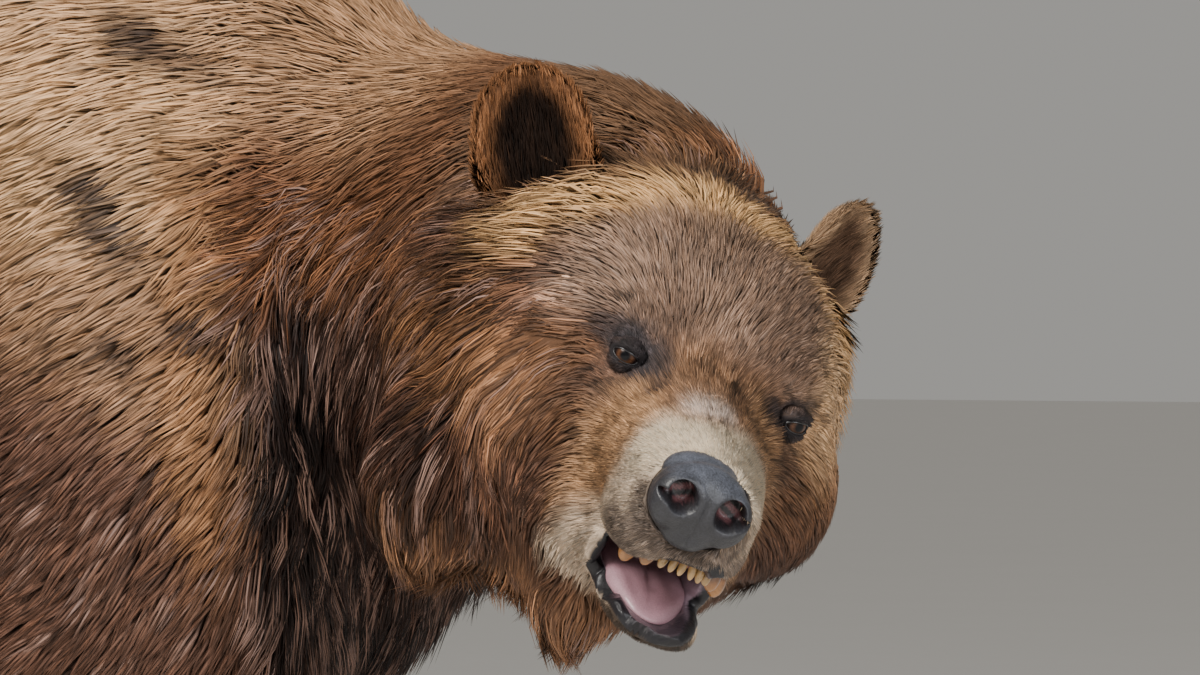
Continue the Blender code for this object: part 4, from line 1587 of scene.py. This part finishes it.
@dataclass(frozen=True)
class Finish:
    """A surface's finish: what all of this animal's materials have in common.

    Attributes:
        name: The material's name.
        colour: Its colour, where no attribute gives it.
        attribute: The attribute that holds its colour, if any.
        roughness: How dull it is.
        grain_size: How fine its grain is.
        grain_amount: How strong its mottling is.
        bump: How deep its grain is, in metres.
        wet: How wet it looks, 0 to 1.
        specular: How strongly it mirrors.
        stretch: How far the grain is drawn together along each axis.
    """

    name: str
    colour: Triple = (0.5, 0.5, 0.5)
    attribute: str = ""
    roughness: float = 0.6
    grain_size: float = 220.0
    grain_amount: float = 0.3
    bump: float = 0.0004
    wet: float = 0.0
    specular: float = 0.5
    stretch: Triple = (1.0, 1.0, 1.0)

    def start(self) -> tuple[Material, Board, Node]:
        """Start a material with its plain values set on the shader itself.

        Returns:
            The material, a board on its nodes, and its shader.
        """
        material = bpy.data.materials.new(self.name)
        material.use_nodes = True
        board = Board(material.node_tree)
        shader = next(node for node in material.node_tree.nodes if node.type == "BSDF_PRINCIPLED")
        board.feed(shader, {
            "Coat Weight": self.wet, "Coat Roughness": 0.08, "Specular IOR Level": self.specular})
        return material, board, shader

    def source(self, board: Board) -> NodeSocket:
        """Where the colour comes from: the attribute, or the plain colour.

        Args:
            board: The board of the material's nodes.

        Returns:
            The socket that gives the colour.
        """
        if self.attribute:
            return board.own(self.attribute).outputs["Color"]
        node = board.add("RGB")
        node.outputs[0].default_value = (*self.colour, 1.0)
        return node.outputs[0]

    def grained(self, board: Board) -> Node:
        """The shared grain, with this finish's own values.

        Args:
            board: The board of the material's nodes.

        Returns:
            The group node.
        """
        effects = board.add("Group", node_tree=grain())
        board.feed(effects, {"Colour": self.source(board), "Size": self.grain_size,
                             "Amount": self.grain_amount, "Stretch": self.stretch})
        return effects

    def material(self) -> Material:
        """Build the material with the shared grain.

        Returns:
            The material.
        """
        material, board, shader = self.start()
        effects = self.grained(board)
        bump = board.add("Bump", {"Distance": self.bump, "Strength": 1.0,
                                            "Height": effects.outputs["Height"]})
        board.feed(shader, {
            "Base Color": effects.outputs["Colour"], "Normal": bump.outputs[0],
            "Roughness": board.sums("MULTIPLY", effects.outputs["Roughness"], self.roughness * 2)})
        return material


@dataclass(frozen=True)
class CoatFinish(Finish):
    """Hair: its colour from the coat's markings, with fine lines along each tuft.

    Attributes:
        lines: How many lines run round a tuft.
        contrast: How strongly they show.
        softness: How far the light falls on a tuft as it would on the skin beneath.
    """

    attribute: str = "tint"
    lines: float = 12.0
    contrast: float = 0.75
    softness: float = 0.8

    def material(self) -> Material:
        """Build the material with the shared streaks.

        Returns:
            The material.
        """
        material, board, shader = self.start()
        effects = board.add("Group", node_tree=streaks())
        board.feed(effects, {"Lines": self.lines, "Amount": self.contrast, "Softness": self.softness})
        shade = effects.outputs["Shade"]
        bump = board.add("Bump", {"Distance": self.bump, "Height": effects.outputs["Height"],
                                            "Normal": effects.outputs["Normal"]})
        board.feed(shader, {"Base Color": board.lit(self.source(board), shade), "Normal": bump.outputs[0],
                            "Roughness": board.sums("MULTIPLY", shade, self.roughness)})
        return material


@dataclass(frozen=True)
class NoseFinish(Finish):
    """Nose leather: small pebbles with painted shade between them, damp.

    Attributes:
        pebbles: How fine the pebbles are.
    """

    pebbles: float = 820.0

    def material(self) -> Material:
        """Build the material with its pebbles over the shared grain.

        Returns:
            The material.
        """
        material, board, shader = self.start()
        place = board.add("TexCoord").outputs["Object"]
        cells = {"Scale": self.pebbles, "Vector": place}
        edge = board.add("TexVoronoi", cells, feature="SMOOTH_F1").outputs["Distance"]
        effects = self.grained(board)
        # Painted shade: the colour darkens between the pebbles.
        pebble_edge_shade = board.add("MapRange", {0: edge, 1: 0.25, 2: 0.75, 3: 1.0, 4: 0.45})
        bump = board.add("Bump", {"Distance": self.bump, "Height": edge}, invert=True)
        board.feed(shader, {
            "Base Color": board.lit(effects.outputs["Colour"], pebble_edge_shade.outputs[0]), "Normal": bump.outputs[0],
            "Roughness": board.sums("MULTIPLY", effects.outputs["Roughness"], self.roughness * 2)})
        return material


@dataclass(frozen=True)
class EyeFinish(Finish):
    """The eyeball: a dark pupil, an amber iris with rays, and a dark rim, under a wet surface.

    Attributes:
        rings: How far from the gaze each ring of colour lies, and its colour.
    """

    rings: tuple = (
        (0.0, (0.002, 0.002, 0.003)), (0.27, (0.002, 0.002, 0.003)), (0.33, (0.019, 0.008, 0.005)),
        (0.52, (0.066, 0.029, 0.014)), (0.7, (0.029, 0.012, 0.007)), (0.8, (0.005, 0.003, 0.003)),
        (1.0, (0.014, 0.009, 0.008)),
    )

    def material(self) -> Material:
        """Build the material from the eyeball's own attributes.

        Returns:
            The material.
        """
        material, board, shader = self.start()
        turn = board.own("turn").outputs["Vector"]
        stretch = board.add("VectorMath", {0: turn, 1: (9.0, 9.0, 1.0)}, operation="MULTIPLY")
        rays = board.add("TexNoise", {"Scale": 1.0, "Detail": 3.0, "Vector": stretch.outputs[0]})
        ramp = board.add("ValToRGB", {0: board.own("away").outputs["Fac"]})
        stops = ramp.color_ramp.elements
        for number, (position, colour) in enumerate(self.rings):
            stop = stops[number] if number < 2 else stops.new(position)
            stop.position, stop.color = position, (*colour, 1.0)
        amount = board.sums("ADD", 0.35, board.sums("MULTIPLY", rays.outputs[0], 1.3))
        board.feed(shader, {"Base Color": board.lit(ramp.outputs[0], amount), "Roughness": self.roughness})
        return material


@dataclass
class Eyes:
    """Both eyeballs and the wet black rims of their lids.

    Attributes:
        rim: Half the rim's thickness.
    """

    axes: HeadAxes
    shape: EyeShape
    rim: float = 0.00045
    ball_finish: EyeFinish = EyeFinish("eyeball", roughness=0.3, wet=0.16, specular=0.12)
    rim_finish: Finish = Finish("lid_rim", colour=(0.006, 0.005, 0.006), roughness=0.32,
                                grain_size=900.0, bump=0.0001, wet=0.35)

    def centre(self, side: int) -> Array:
        """The eyeball's middle in the head's axes."""
        return np.array((self.axes.eye_forward, side * self.axes.half_span, 0.0))

    def ball(self, name: str, side: int, material: Material) -> None:
        """Make one eyeball with its bulging clear front.

        Args:
            name: Its side, in a word.
            side: 1 for the left eye, -1 for the right one.
            material: Its material.
        """
        bm = bmesh.new()
        bmesh.ops.create_uvsphere(bm, u_segments=56, v_segments=40, radius=self.shape.radius)
        mesh = settled(bm, "eye")
        own = corners(mesh)
        away = np.arctan2(np.linalg.norm(own[:, :2], axis=1), own[:, 2])
        turn = np.concatenate([unit(own[:, :2] + 1e-9), away[:, None]], 1)
        own *= (1 + 0.045 * ease(0.75, 0.1, away))[:, None]
        gaze, corner, _ = self.shape.axes(side)
        local = self.centre(side) + own @ np.stack([corner, np.cross(gaze, corner), gaze])
        move(mesh, self.axes.world(local))
        store(mesh, "away", "FLOAT", np.clip(away / IRIS_ANGLE, 0, 1))
        store(mesh, "turn", "FLOAT_VECTOR", turn)
        piece(f"eyeball_{name}", mesh, [material], [f"eye_{name}"])

    def lids(self, name: str, side: int, material: Material) -> None:
        """Run a thin tube round the opening, thicker along the upper lid.

        Args:
            name: Its side, in a word.
            side: 1 for the left eye, -1 for the right one.
            material: The rim's material.
        """
        bm = bmesh.new()
        upright = Matrix.Translation((1, 0, 0)) @ Matrix.Rotation(math.pi / 2, 4, "X")
        ring = bmesh.ops.create_circle(bm, segments=10, radius=0.1, matrix=upright)["verts"]
        bmesh.ops.spin(bm, geom=ring + bm.edges[:], cent=(0, 0, 0), axis=(0, 0, 1), angle=2 * math.pi,
                       steps=72, use_merge=True)
        mesh = settled(bm, "lids")
        places = corners(mesh)
        round_ = np.arctan2(places[:, 1], places[:, 0])
        across = places[:, 2] / 0.1
        out = (np.linalg.norm(places[:, :2], axis=1) - 1) / 0.1
        shape = self.shape
        upper = np.sin(round_) > 0
        height = np.where(upper, shape.upper, shape.lower)
        thick = self.rim * np.where(upper, 1.0 + 0.5 * np.abs(np.sin(round_)), 1.0)
        a = np.cos(round_) * (shape.half_width + out * thick)
        b = np.sin(round_) * (height + out * thick)
        ahead = np.sqrt(np.maximum((shape.radius + 0.0006) ** 2 - a * a - b * b, 1e-7)) + across * thick
        gaze, corner, up = shape.axes(side)
        local = self.centre(side) + ahead[:, None] * gaze + a[:, None] * corner + b[:, None] * up
        move(mesh, self.axes.world(local))
        bm = bmesh.new()
        bm.from_mesh(mesh)
        bpy.data.meshes.remove(mesh)
        piece(f"lid_rim_{name}", settled(bm, "lids", 1e-7), [material])

    def build(self) -> None:
        """Make both eyes."""
        ball, rim = self.ball_finish.material(), self.rim_finish.material()
        for name, side in SIDES.items():
            self.ball(name, side, ball)
            self.lids(name, side, rim)


@dataclass
class Nose:
    """The nose leather: a broad pad with two deep comma-shaped nostrils and a groove down its front."""

    axes: HeadAxes
    shift: float = -0.017
    voxel: float = 0.0013
    lobes: tuple = (
        ((0.162, 0.0, -0.055), (0.0235, 0.0365, 0.03), 8),
        ((0.15, 0.0, -0.041), (0.0235, 0.0315, 0.018), 18),
        ((0.161, 0.0, -0.076), (0.0165, 0.019, 0.0125), 0),
        ((0.17, 0.0195, -0.056), (0.0165, 0.018, 0.0215), 8),
        ((0.17, -0.0195, -0.056), (0.0165, 0.018, 0.0215), 8),
    )
    finish: NoseFinish = NoseFinish("nose_leather", attribute="tint", roughness=0.5, grain_size=420.0,
                                    grain_amount=0.35, bump=0.0003, wet=0.12)

    def build(self) -> None:
        """Fuse the lobes, press in the nostrils and the groove, and colour the hollows, with painted shade
        inside the nostrils.
        """
        bm = bmesh.new()
        for place, radii, tilt in self.lobes:
            middle = Matrix.Translation(Vector(place) + Vector((0, self.shift, 0)))
            matrix = middle @ turn(tilt, "Y") @ Matrix.Diagonal((*radii, 1))
            bmesh.ops.create_uvsphere(bm, u_segments=40, v_segments=28, radius=1, matrix=matrix)
        mesh = recast(poured(bm, "nose"), self.voxel)
        net = Net.of(mesh)
        places = net.spread(corners(mesh), 9, 0.6)
        x, y, z = places[:, 0], places[:, 1] - self.shift, places[:, 2]
        side = np.abs(y)
        front = ease(0.16, 0.172, x)
        hole = ((side - 0.0185) / 0.0105) ** 2 + ((z + 0.051 - 0.1 * (side - 0.02)) / 0.011) ** 2
        slit_line = z + 0.0545 - 0.3 * (side - 0.028)
        slit = ((side - 0.0275) / 0.008) ** 2 + (slit_line / 0.0036) ** 2
        deep = np.maximum(ease(1.25, 0.45, hole), 0.72 * ease(1.3, 0.3, slit) * ease(0.15, 0.16, x))
        groove = np.exp(-(side / 0.0016) ** 2) * ease(-0.046, -0.056, z) * front
        rim = np.exp(-((np.sqrt(hole) - 1.35) / 0.28) ** 2) * front
        places[:, 0] += -0.0165 * deep * np.maximum(front, 0.5) - 0.0016 * groove + 0.0011 * rim
        places[:, 2] += 0.0045 * deep
        places = net.spread(places, 1, 0.4)
        move(mesh, self.axes.world(places))
        # Painted sheen: the top of the nose leather is painted a lighter slate, a highlight where it faces up.
        tint = layered(Paint.LEATHER, len(places), ((Paint.DAMP, ease(-0.048, -0.03, z) * 0.85),))
        tint = tint * (1 + 0.35 * ripple(places, 0.014, 19))[:, None]
        # Painted shade: the nostrils' hollows are darkened towards black by their depth.
        tint = blend(tint, Paint.NOSTRIL.rgb, ease(0.1, 0.4, deep))
        folds = ease(0.3, -0.2, np.sin(z * 700 + side * 300))
        tint = blend(tint, Paint.NOSE_FLESH.rgb, ease(0.6, 0.88, deep) * folds * 0.9)
        store(mesh, "tint", "FLOAT_COLOR", tint)
        piece("nose_pad", mesh, [self.finish.material()], ["nose"])


@dataclass
class MouthParts:
    """The upper teeth in their gum, and the tongue.

    Attributes:
        teeth: The teeth of one side: place, half width and half length.
    """

    axes: HeadAxes
    mouth: Mouth
    teeth: tuple = (
        (0.112, 0.034, -0.108, 0.0066, 0.0115), (0.129, 0.0245, -0.103, 0.006, 0.0108),
        (0.141, 0.0165, -0.101, 0.0038, 0.0084), (0.145, 0.01, -0.101, 0.0032, 0.008),
        (0.147, 0.0036, -0.101, 0.003, 0.0076),
    )
    enamel: Finish = Finish("old_enamel", attribute="tint", roughness=0.3, grain_size=380.0,
                            grain_amount=0.5, bump=0.00015, wet=0.5)
    gum_finish: Finish = Finish("gum", colour=(0.2, 0.06, 0.065), roughness=0.35, grain_size=500.0,
                                bump=0.0002, wet=0.5)
    tongue_finish: Finish = Finish("tongue", colour=(0.36, 0.2, 0.235), roughness=0.5, grain_size=900.0,
                                   grain_amount=0.35, bump=0.0006, wet=0.35)

    def upper(self) -> None:
        """Make the row of worn, stained teeth and the gum that holds them."""
        bm = bmesh.new()
        for x, y, z, half, length in self.teeth:
            for side in (1, -1):
                middle = Matrix.Translation((x, side * y, z)) @ (turn(side * 6, "X") @ turn(-8, "Y"))
                matrix = middle @ Matrix.Diagonal((half * 0.85, half, length, 1))
                bmesh.ops.create_uvsphere(bm, u_segments=18, v_segments=14, radius=1, matrix=matrix)
        mesh = settled(bm, "teeth", 1e-7)
        places = corners(mesh)
        lift = places[:, 2] + 0.104
        tint = layered(Paint.TARTAR, len(places), (
            (Paint.OLD_ENAMEL, ease(0.004, -0.01, lift)),
            (Paint.ENAMEL, ease(0.136, 0.144, places[:, 0]) * 0.6),
        ))
        store(mesh, "tint", "FLOAT_COLOR", tint * (1 + 0.25 * ripple(places, 0.012, 3))[:, None])
        move(mesh, self.axes.world(places))
        piece("teeth", mesh, [self.enamel.material()], ["upper_teeth"])
        bm = bmesh.new()
        matrix = Matrix.Translation((0.112, 0, -0.0955)) @ Matrix.Diagonal((0.036, 0.038, 0.0085, 1))
        bmesh.ops.create_uvsphere(bm, u_segments=40, v_segments=20, radius=1, matrix=matrix)
        mesh = settled(bm, "gum")
        places = corners(mesh)
        places[:, 2] -= 0.0012 * np.abs(np.sin(places[:, 1] * 430)) * ease(0.1, 0.13, places[:, 0])
        move(mesh, self.axes.world(places))
        piece("gum_upper", mesh, [self.gum_finish.material()])

    def tongue(self) -> None:
        """Make the tongue, broad and flat with a groove along its middle."""
        bm = bmesh.new()
        bmesh.ops.create_uvsphere(bm, u_segments=48, v_segments=28, radius=1)
        mesh = settled(bm, "tongue")
        own = corners(mesh)
        run = own[:, 0]
        places = np.stack([0.052 + run * 0.068, 0.004 + own[:, 1] * 0.0335 * (1 - 0.08 * run),
                           -0.1075 + own[:, 2] * 0.01 - 0.003 * run ** 2], 1)
        top = ease(-0.2, 0.5, own[:, 2])
        places[:, 2] -= 0.0014 * np.exp(-(own[:, 1] / 0.12) ** 2) * top
        places[:, 2] += 0.0012 * ripple(places, 0.016, 81) * top + 0.0016 * (own[:, 1] / 0.6) ** 2 * top
        move(mesh, self.axes.world(placed(places, self.mouth.swing)))
        piece("tongue_flesh", mesh, [self.tongue_finish.material()], ["tongue"])

    def build(self) -> None:
        """Make the teeth, the gum and the tongue."""
        self.upper()
        self.tongue()


@dataclass
class Ear:
    """One rounded ear: a deep cup with a furry rim.

    Attributes:
        axes: The head's axes.
        name: Its side, in a word.
        turn: How far its cup is turned from the head's front, in degrees.
        rim_tint: The colour of its hair outside, with this ear's own painted light and shade.
        inner_tint: The colour of its hair inside the cup, partly its dark inner hair and partly painted shade.
        place: Where it stands in the head's axes, on the left side.
        radii: Half its thickness, width and height.
        shift: How far both ears stand over to the left.
    """

    axes: HeadAxes
    name: str
    turn: float
    rim_tint: Triple
    inner_tint: Triple
    place: Triple = (-0.13, 0.11, 0.073)
    radii: Triple = (0.025, 0.041, 0.049)
    shift: float = -0.03

    @property
    def matrix(self) -> Matrix:
        """From the ear's own axes, X out of the cup and Z to its tip, to the head's.

        Returns:
            The matrix.
        """
        side = SIDES[self.name]
        x, y, z = self.place
        turned = Euler((math.radians(-32 * side), math.radians(-10), math.radians(self.turn)))
        return Matrix.Translation((x, side * y + self.shift, z)) @ turned.to_matrix().to_4x4()

    def cup(self) -> Mesh:
        """Shape a ball into a cup and stand it in place.

        Returns:
            The ear's mesh.
        """
        bm = bmesh.new()
        bmesh.ops.create_icosphere(bm, subdivisions=5, radius=1)
        mesh = settled(bm, "ear")
        own = corners(mesh)
        x, y, z = own.T
        side = np.abs(y)
        self.front = ease(-0.05, 0.25, x)
        self.rim = np.exp(-((x - 0.05) / 0.42) ** 2) * ease(-0.75, -0.1, z + 0.3 * side)
        self.deep = self.front * ease(0.95, 0.45, np.hypot(y, (z + 0.25) * 0.8))
        hollow = 0.95 * ease(-0.75, -0.1, z + 0.25 * side)
        depth = np.where(x > 0, x * (1 - 1.65 * hollow * (1 - 0.2 * side)), x)
        depth = depth - 0.9 * ease(-0.05, -0.85, z) * (x > -0.3)
        width = y * (1 + 0.22 * ease(0.1, -0.6, z))
        height = z * (1 + 0.45 * ease(0.0, -0.8, z))
        places = np.stack([depth * self.radii[0], width * self.radii[1], 0.028 + height * self.radii[2]], 1)
        places = Net.of(mesh).spread(places, 6, 0.5)
        move(mesh, self.axes.world(placed(places, self.matrix)))
        return mesh

    def build(self, hide: Material, hair: Material) -> None:
        """Make the ear's skin and the hair on it.

        Args:
            hide: The skin's material.
            hair: The coat's material.
        """
        mesh = self.cup()
        count = len(mesh.vertices)
        places, normals = corners(mesh), facing(mesh)
        tint = np.tile(self.rim_tint, (count, 1)).astype(float)
        tint = blend(tint, np.array(self.inner_tint), self.deep)
        tint = tint * (1 + 0.2 * ripple(places, 0.03, 77))[:, None]
        # Painted shade beneath the hair: the ear's skin is half as light as its hair.
        store(mesh, "tint", "FLOAT_COLOR", tint * 0.5)
        forward, _, up = self.axes.turned(np.array(self.matrix)[:3, :3].T)
        outward = unit(places - places.mean(0))
        front = self.front[:, None]
        flow = up * (0.45 + 0.75 * front) + outward * (0.6 - 0.4 * front) + forward * (0.25 * (1 - front))
        flow = flow - normals * (flow * normals).sum(1, keepdims=True)
        ones = np.ones(count)
        length = 0.0135 - 0.002 * self.rim + 0.008 * self.deep
        width = ones * 0.0014
        loft = 0.003 + 0.004 * self.rim + 0.004 * self.deep
        pelage = Pelage(unit(flow), length, width, loft, ones * 0.3, ones * 0.0005, ones * 0.0, tint,
                        6.0 / (width * length * 0.5))
        surface = Surface(mesh)
        coat = Coat(surface, pelage, Chart(mesh, 0.004), seed=90)
        everywhere = np.ones(len(surface.triangles))
        tufts = coat.grow(f"coat_ear_{self.name}", everywhere, Hair.SPIKE, 7500, 0.005, 0.22)
        piece(f"ear_skin_{self.name}", mesh, [hide], [f"ear_{self.name}"])
        piece(f"coat_ear_{self.name}", tufts, [hair])


@dataclass
class Claws:
    """The claws of one paw: long, curved horn with fine lines along it."""

    paw: str
    finish: Finish = Finish("claw_horn", attribute="tint", roughness=0.38, grain_size=260.0,
                            grain_amount=0.5, bump=0.00025, wet=0.15, stretch=(0.25, 1.0, 0.25))

    def build(self, material: Material) -> None:
        """Make the five claws, each from where it leaves the toe to its point on the ground side.

        Args:
            material: The horn.
        """
        joined, alongs = bmesh.new(), []
        nodes = [f"claw_{self.paw}_{number}" for number in range(1, 6)]
        for node in nodes:
            low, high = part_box(node)
            root = np.array((low.x + 0.003, (low.y + high.y) / 2, high.z - 0.006))
            tip = np.array((high.x - 0.002, (low.y + high.y) / 2, low.z + 0.001))
            girth = (high.y - low.y) / 2
            bm = bmesh.new()
            bmesh.ops.create_cone(bm, cap_ends=True, segments=14, radius1=1.0, radius2=0.12, depth=2.0)
            rails = [edge for edge in bm.edges if abs(edge.verts[0].co.z - edge.verts[1].co.z) > 1]
            bmesh.ops.subdivide_edges(bm, edges=rails, cuts=10)
            mesh = settled(bm, "claw")
            own = corners(mesh)
            along = (own[:, 2] + 1) / 2
            ahead = unit(tip - root)
            out = unit(np.cross((0.0, 1.0, 0.0), ahead)) * -1
            bend = 0.14 * np.linalg.norm(tip - root) * np.sin(along * math.pi)
            swell = 1 - 0.25 * along ** 2
            spine = root + (tip - root) * along[:, None] + out * bend[:, None]
            wide, thick = ((own[:, axis] * girth * 0.92 * swell)[:, None] for axis in (0, 1))
            move(mesh, spine + np.array((0.0, 1.0, 0.0)) * wide + out * thick)
            joined.from_mesh(mesh)
            alongs.append(along)
            bpy.data.meshes.remove(mesh)
        along = np.concatenate(alongs)
        bmesh.ops.recalc_face_normals(joined, faces=joined.faces)
        mesh = poured(joined, "claws")
        tint = layered(Paint.HORN, len(along), ((Paint.HORN_TIP, ease(0.45, 1.0, along)),))
        store(mesh, "tint", "FLOAT_COLOR", tint)
        piece(f"claws_{self.paw}", mesh, [material], nodes)


@dataclass
class Studio:
    """The pale floor, the soft lights and the camera."""

    axes: HeadAxes
    azimuth: float = 20.0
    elevation: float = 1.0
    distance: float = 7.0
    lens: float = 300.3
    right_of_eyes: float = -0.0762
    above_eyes: float = 0.0353
    floor_finish: Finish = Finish("studio_floor", colour=(0.8, 0.78, 0.75), roughness=0.9, grain_size=30.0,
                                  grain_amount=0.02, bump=0.0002, specular=0.2)

    def floor(self) -> None:
        """Lay a wide pale floor at the level of the soles."""
        bm = bmesh.new()
        bmesh.ops.create_grid(bm, x_segments=8, y_segments=8, size=30)
        mesh = poured(bm, "floor")
        mesh.materials.append(self.floor_finish.material())
        shown("floor", mesh)

    def lamp(self, name: str, place: Vector, aim: Vector, size: float, power: float, colour: Triple) -> None:
        """Hang one large soft lamp.

        Args:
            name: Its name.
            place: Where it hangs.
            aim: What it faces.
            size: How wide it is.
            power: How bright it is, in watts.
            colour: Its colour.
        """
        lamp = bpy.data.lights.new(name, "AREA")
        lamp.shape, lamp.size, lamp.energy, lamp.color = "DISK", size, power, colour
        holder = shown(name, lamp)
        holder.location = place
        holder.rotation_euler = (aim - place).to_track_quat("-Z", "Y").to_euler()

    def build(self) -> None:
        """Set up the floor, the sky, the lamps and the camera."""
        self.floor()
        middle = self.axes.matrix @ Vector((self.axes.eye_forward, 0, 0))
        world = bpy.data.worlds.new("soft_sky")
        bpy.context.scene.world = world
        world.use_nodes = True
        sky = world.node_tree.nodes["Background"]
        sky.inputs["Color"].default_value = (0.8, 0.78, 0.74, 1)
        sky.inputs["Strength"].default_value = 0.43
        self.lamp("key", Vector((-0.6, -4.2, 4.6)), middle, 3.0, 510, (1.0, 0.97, 0.92))
        self.lamp("fill", Vector((4.6, -3.0, 2.2)), middle, 3.0, 150, (0.95, 0.97, 1.0))
        azimuth, elevation = math.radians(self.azimuth), math.radians(self.elevation)
        level = math.cos(elevation)
        back = Vector((math.sin(azimuth) * level, -math.cos(azimuth) * level, math.sin(elevation)))
        right = Vector((math.cos(azimuth), math.sin(azimuth), 0))
        aim = middle + right * self.right_of_eyes + back.cross(right) * self.above_eyes
        data = bpy.data.cameras.new("camera")
        data.lens, data.sensor_width, data.clip_end = self.lens, 36.0, 100.0
        camera = shown("camera", data)
        camera.location = aim + back * self.distance
        camera.rotation_euler = back.to_track_quat("Z", "Y").to_euler()
        bpy.context.scene.camera = camera


@dataclass
class Bear:
    """The whole animal.

    Attributes:
        axes: The head's axes.
        short: Hair of the head below this length belongs to the face.
        long: Hair of the head above this length belongs to the mane.
        high: Above this height lies the upper part of the shoulder.
        nape: Above this height the neck's coat is the nape's.
    """

    axes: HeadAxes = field(default_factory=HeadAxes)
    short: float = 0.0155
    long: float = 0.042
    high: float = 0.8
    nape: float = 0.9
    hide_finishes: tuple[Finish, ...] = (
        Finish("hide", attribute="tint", roughness=0.75, grain_size=320.0, grain_amount=0.25, bump=0.0006,
               specular=0.2),
        Finish("lip_leather", attribute="tint", roughness=0.46, grain_size=500.0, grain_amount=0.4,
               bump=0.0004, wet=0.12, specular=0.3),
        Finish("mouth_lining", attribute="tint", roughness=0.36, grain_size=420.0, grain_amount=0.4,
               bump=0.0004, wet=0.5),
        Finish("sole_pad", attribute="tint", roughness=0.7, grain_size=350.0, grain_amount=0.4, bump=0.0009),
    )
    coat_finish: CoatFinish = CoatFinish("coat", roughness=0.62, specular=0.25, bump=0.0003)
    wet_finish: CoatFinish = CoatFinish("coat_wet", roughness=0.48, specular=0.22, bump=0.0003, lines=8.0,
                                        softness=0.45)
    ear_finish: CoatFinish = CoatFinish("ear_velvet", roughness=0.8, specular=0.08, bump=0.0003)

    def wear_skin(self, skin: Skin, tint: Array) -> None:
        """Put the skin in place of the flesh, with its lips, lining and pads.

        Args:
            skin: The skin.
            tint: Its colours.
        """
        mesh = skin.mesh
        store(mesh, "tint", "FLOAT_COLOR", tint)
        piece("skin", mesh, [finish.material() for finish in self.hide_finishes], FLESH)
        first = fetch(mesh.loops, "vertex_index")[fetch(mesh.polygons, "loop_start")]
        kind = np.where(skin.inside[first] > 0.65, 2, np.where(skin.lips[first] > 0.4, 1, 0))
        kind = np.where(skin.places[first, 2] < 0.009, 3, kind)
        mesh.polygons.foreach_set("material_index", kind.astype(np.int32))

    def clothe(self, skin: Skin, pelage: Pelage) -> None:
        """Grow the coat, piece by piece.

        Args:
            skin: The skin it grows on.
            pelage: How it grows.
        """
        surface = Surface(skin.mesh)
        coat = Coat(surface, pelage, Chart(skin.mesh, 0.022))
        dry, wet = self.coat_finish.material(), self.wet_finish.material()
        weights, place, normal, length, local = (
            values[surface.triangles].mean(1)
            for values in (skin.weights, surface.points, surface.normals, pelage.length, skin.local))
        zone = weights.argmax(1)
        head, trunk, neck = (zone == part for part in (Zone.HEAD, Zone.TRUNK, Zone.NECK))
        legs = np.isin(zone, (Zone.FORELEG, Zone.HINDLEG, Zone.PAW, Zone.TAIL))
        short, mane = head & (length < self.short), head & (length > self.long)
        right = normal[:, 1] < 0.15
        rear = trunk & ~(right & (place[:, 0] > 0.1))
        own_side = local[:, 1] < -0.008
        high = place[:, 2] > self.high
        nape = neck & (place[:, 2] > self.nape)
        # The last column is the share of locks with painted sheen.
        plan = (
            ("coat_face_right", short & own_side, Hair.SPIKE, 40000, 0.0042, dry, 0.29, 0.0),
            ("coat_face_left", short & ~own_side, Hair.SPIKE, 40000, 0.0042, dry, 0.29, 0.0),
            ("coat_head", head & ~short & ~mane, Hair.LOCK, 17000, 0.007, dry, 0.18, 0.0),
            ("coat_mane", mane, Hair.LONG, 9000, 0.009, wet, 0.42, 0.16),
            ("coat_neck_near", neck & right & ~nape, Hair.LONG, 9000, 0.0095, wet, 0.34, 0.34),
            ("coat_nape", nape, Hair.LOCK, 9000, 0.009, dry, 0.18, 0.0),
            ("coat_neck_far", neck & ~right & ~nape, Hair.LOCK, 3000, 0.02, wet, 0.25, 0.0),
            ("coat_shoulder_high", trunk & ~rear & high, Hair.LOCK, 16000, 0.0095, dry, 0.12, 0.0),
            ("coat_shoulder_low", trunk & ~rear & ~high, Hair.LOCK, 16000, 0.01, dry, 0.14, 0.08),
            ("coat_back_right", rear & right, Hair.LOCK, 11000, 0.022, dry, 0.14, 0.0),
            ("coat_back_left", rear & ~right, Hair.LOCK, 11000, 0.022, dry, 0.14, 0.0),
            ("coat_legs", legs, Hair.LOCK, 11000, 0.02, dry, 0.16, 0.0),
        )
        for name, mask, hair, most, spacing, material, tone, sheen_share in plan:
            most = most
            mesh = coat.grow(name, mask.astype(float), hair, most, spacing, tone, sheen_share)
            piece(name, mesh, [material])

    def build(self) -> None:
        """Build every piece in order."""
        skin = Skin(self.axes)
        skin.build()
        markings = Markings(self.axes, skin)
        pelage = Grooming(skin, markings).build()
        self.wear_skin(skin, markings.hide(pelage.tint))
        Eyes(self.axes, skin.eye).build()
        Nose(self.axes).build()
        MouthParts(self.axes, skin.mouth).build()
        hide, hair = self.hide_finishes[0].material(), self.ear_finish.material()
        # Each ear has its own colours: the near one painted darker, the far one lighter, by how light falls on
        # them.
        Ear(self.axes, "right", -22.0, (0.225, 0.1, 0.044), (0.01, 0.005, 0.003)).build(hide, hair)
        Ear(self.axes, "left", 48.0, (0.4, 0.25, 0.145), (0.11, 0.062, 0.038),
            radii=(0.025, 0.043, 0.047), shift=-0.017).build(hide, hair)
        horn = Claws("fore_right").finish.material()
        for paw in ("fore_right", "fore_left", "hind_right", "hind_left"):
            Claws(paw).build(horn)
        self.clothe(skin, pelage)


def main() -> None:
    """Build the bear in its studio."""
    logging.basicConfig(level=logging.INFO, format="%(message)s")
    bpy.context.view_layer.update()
    axes = HeadAxes()
    Studio(axes).build()
    Bear(axes).build()


if __name__ == "__main__":
    main()
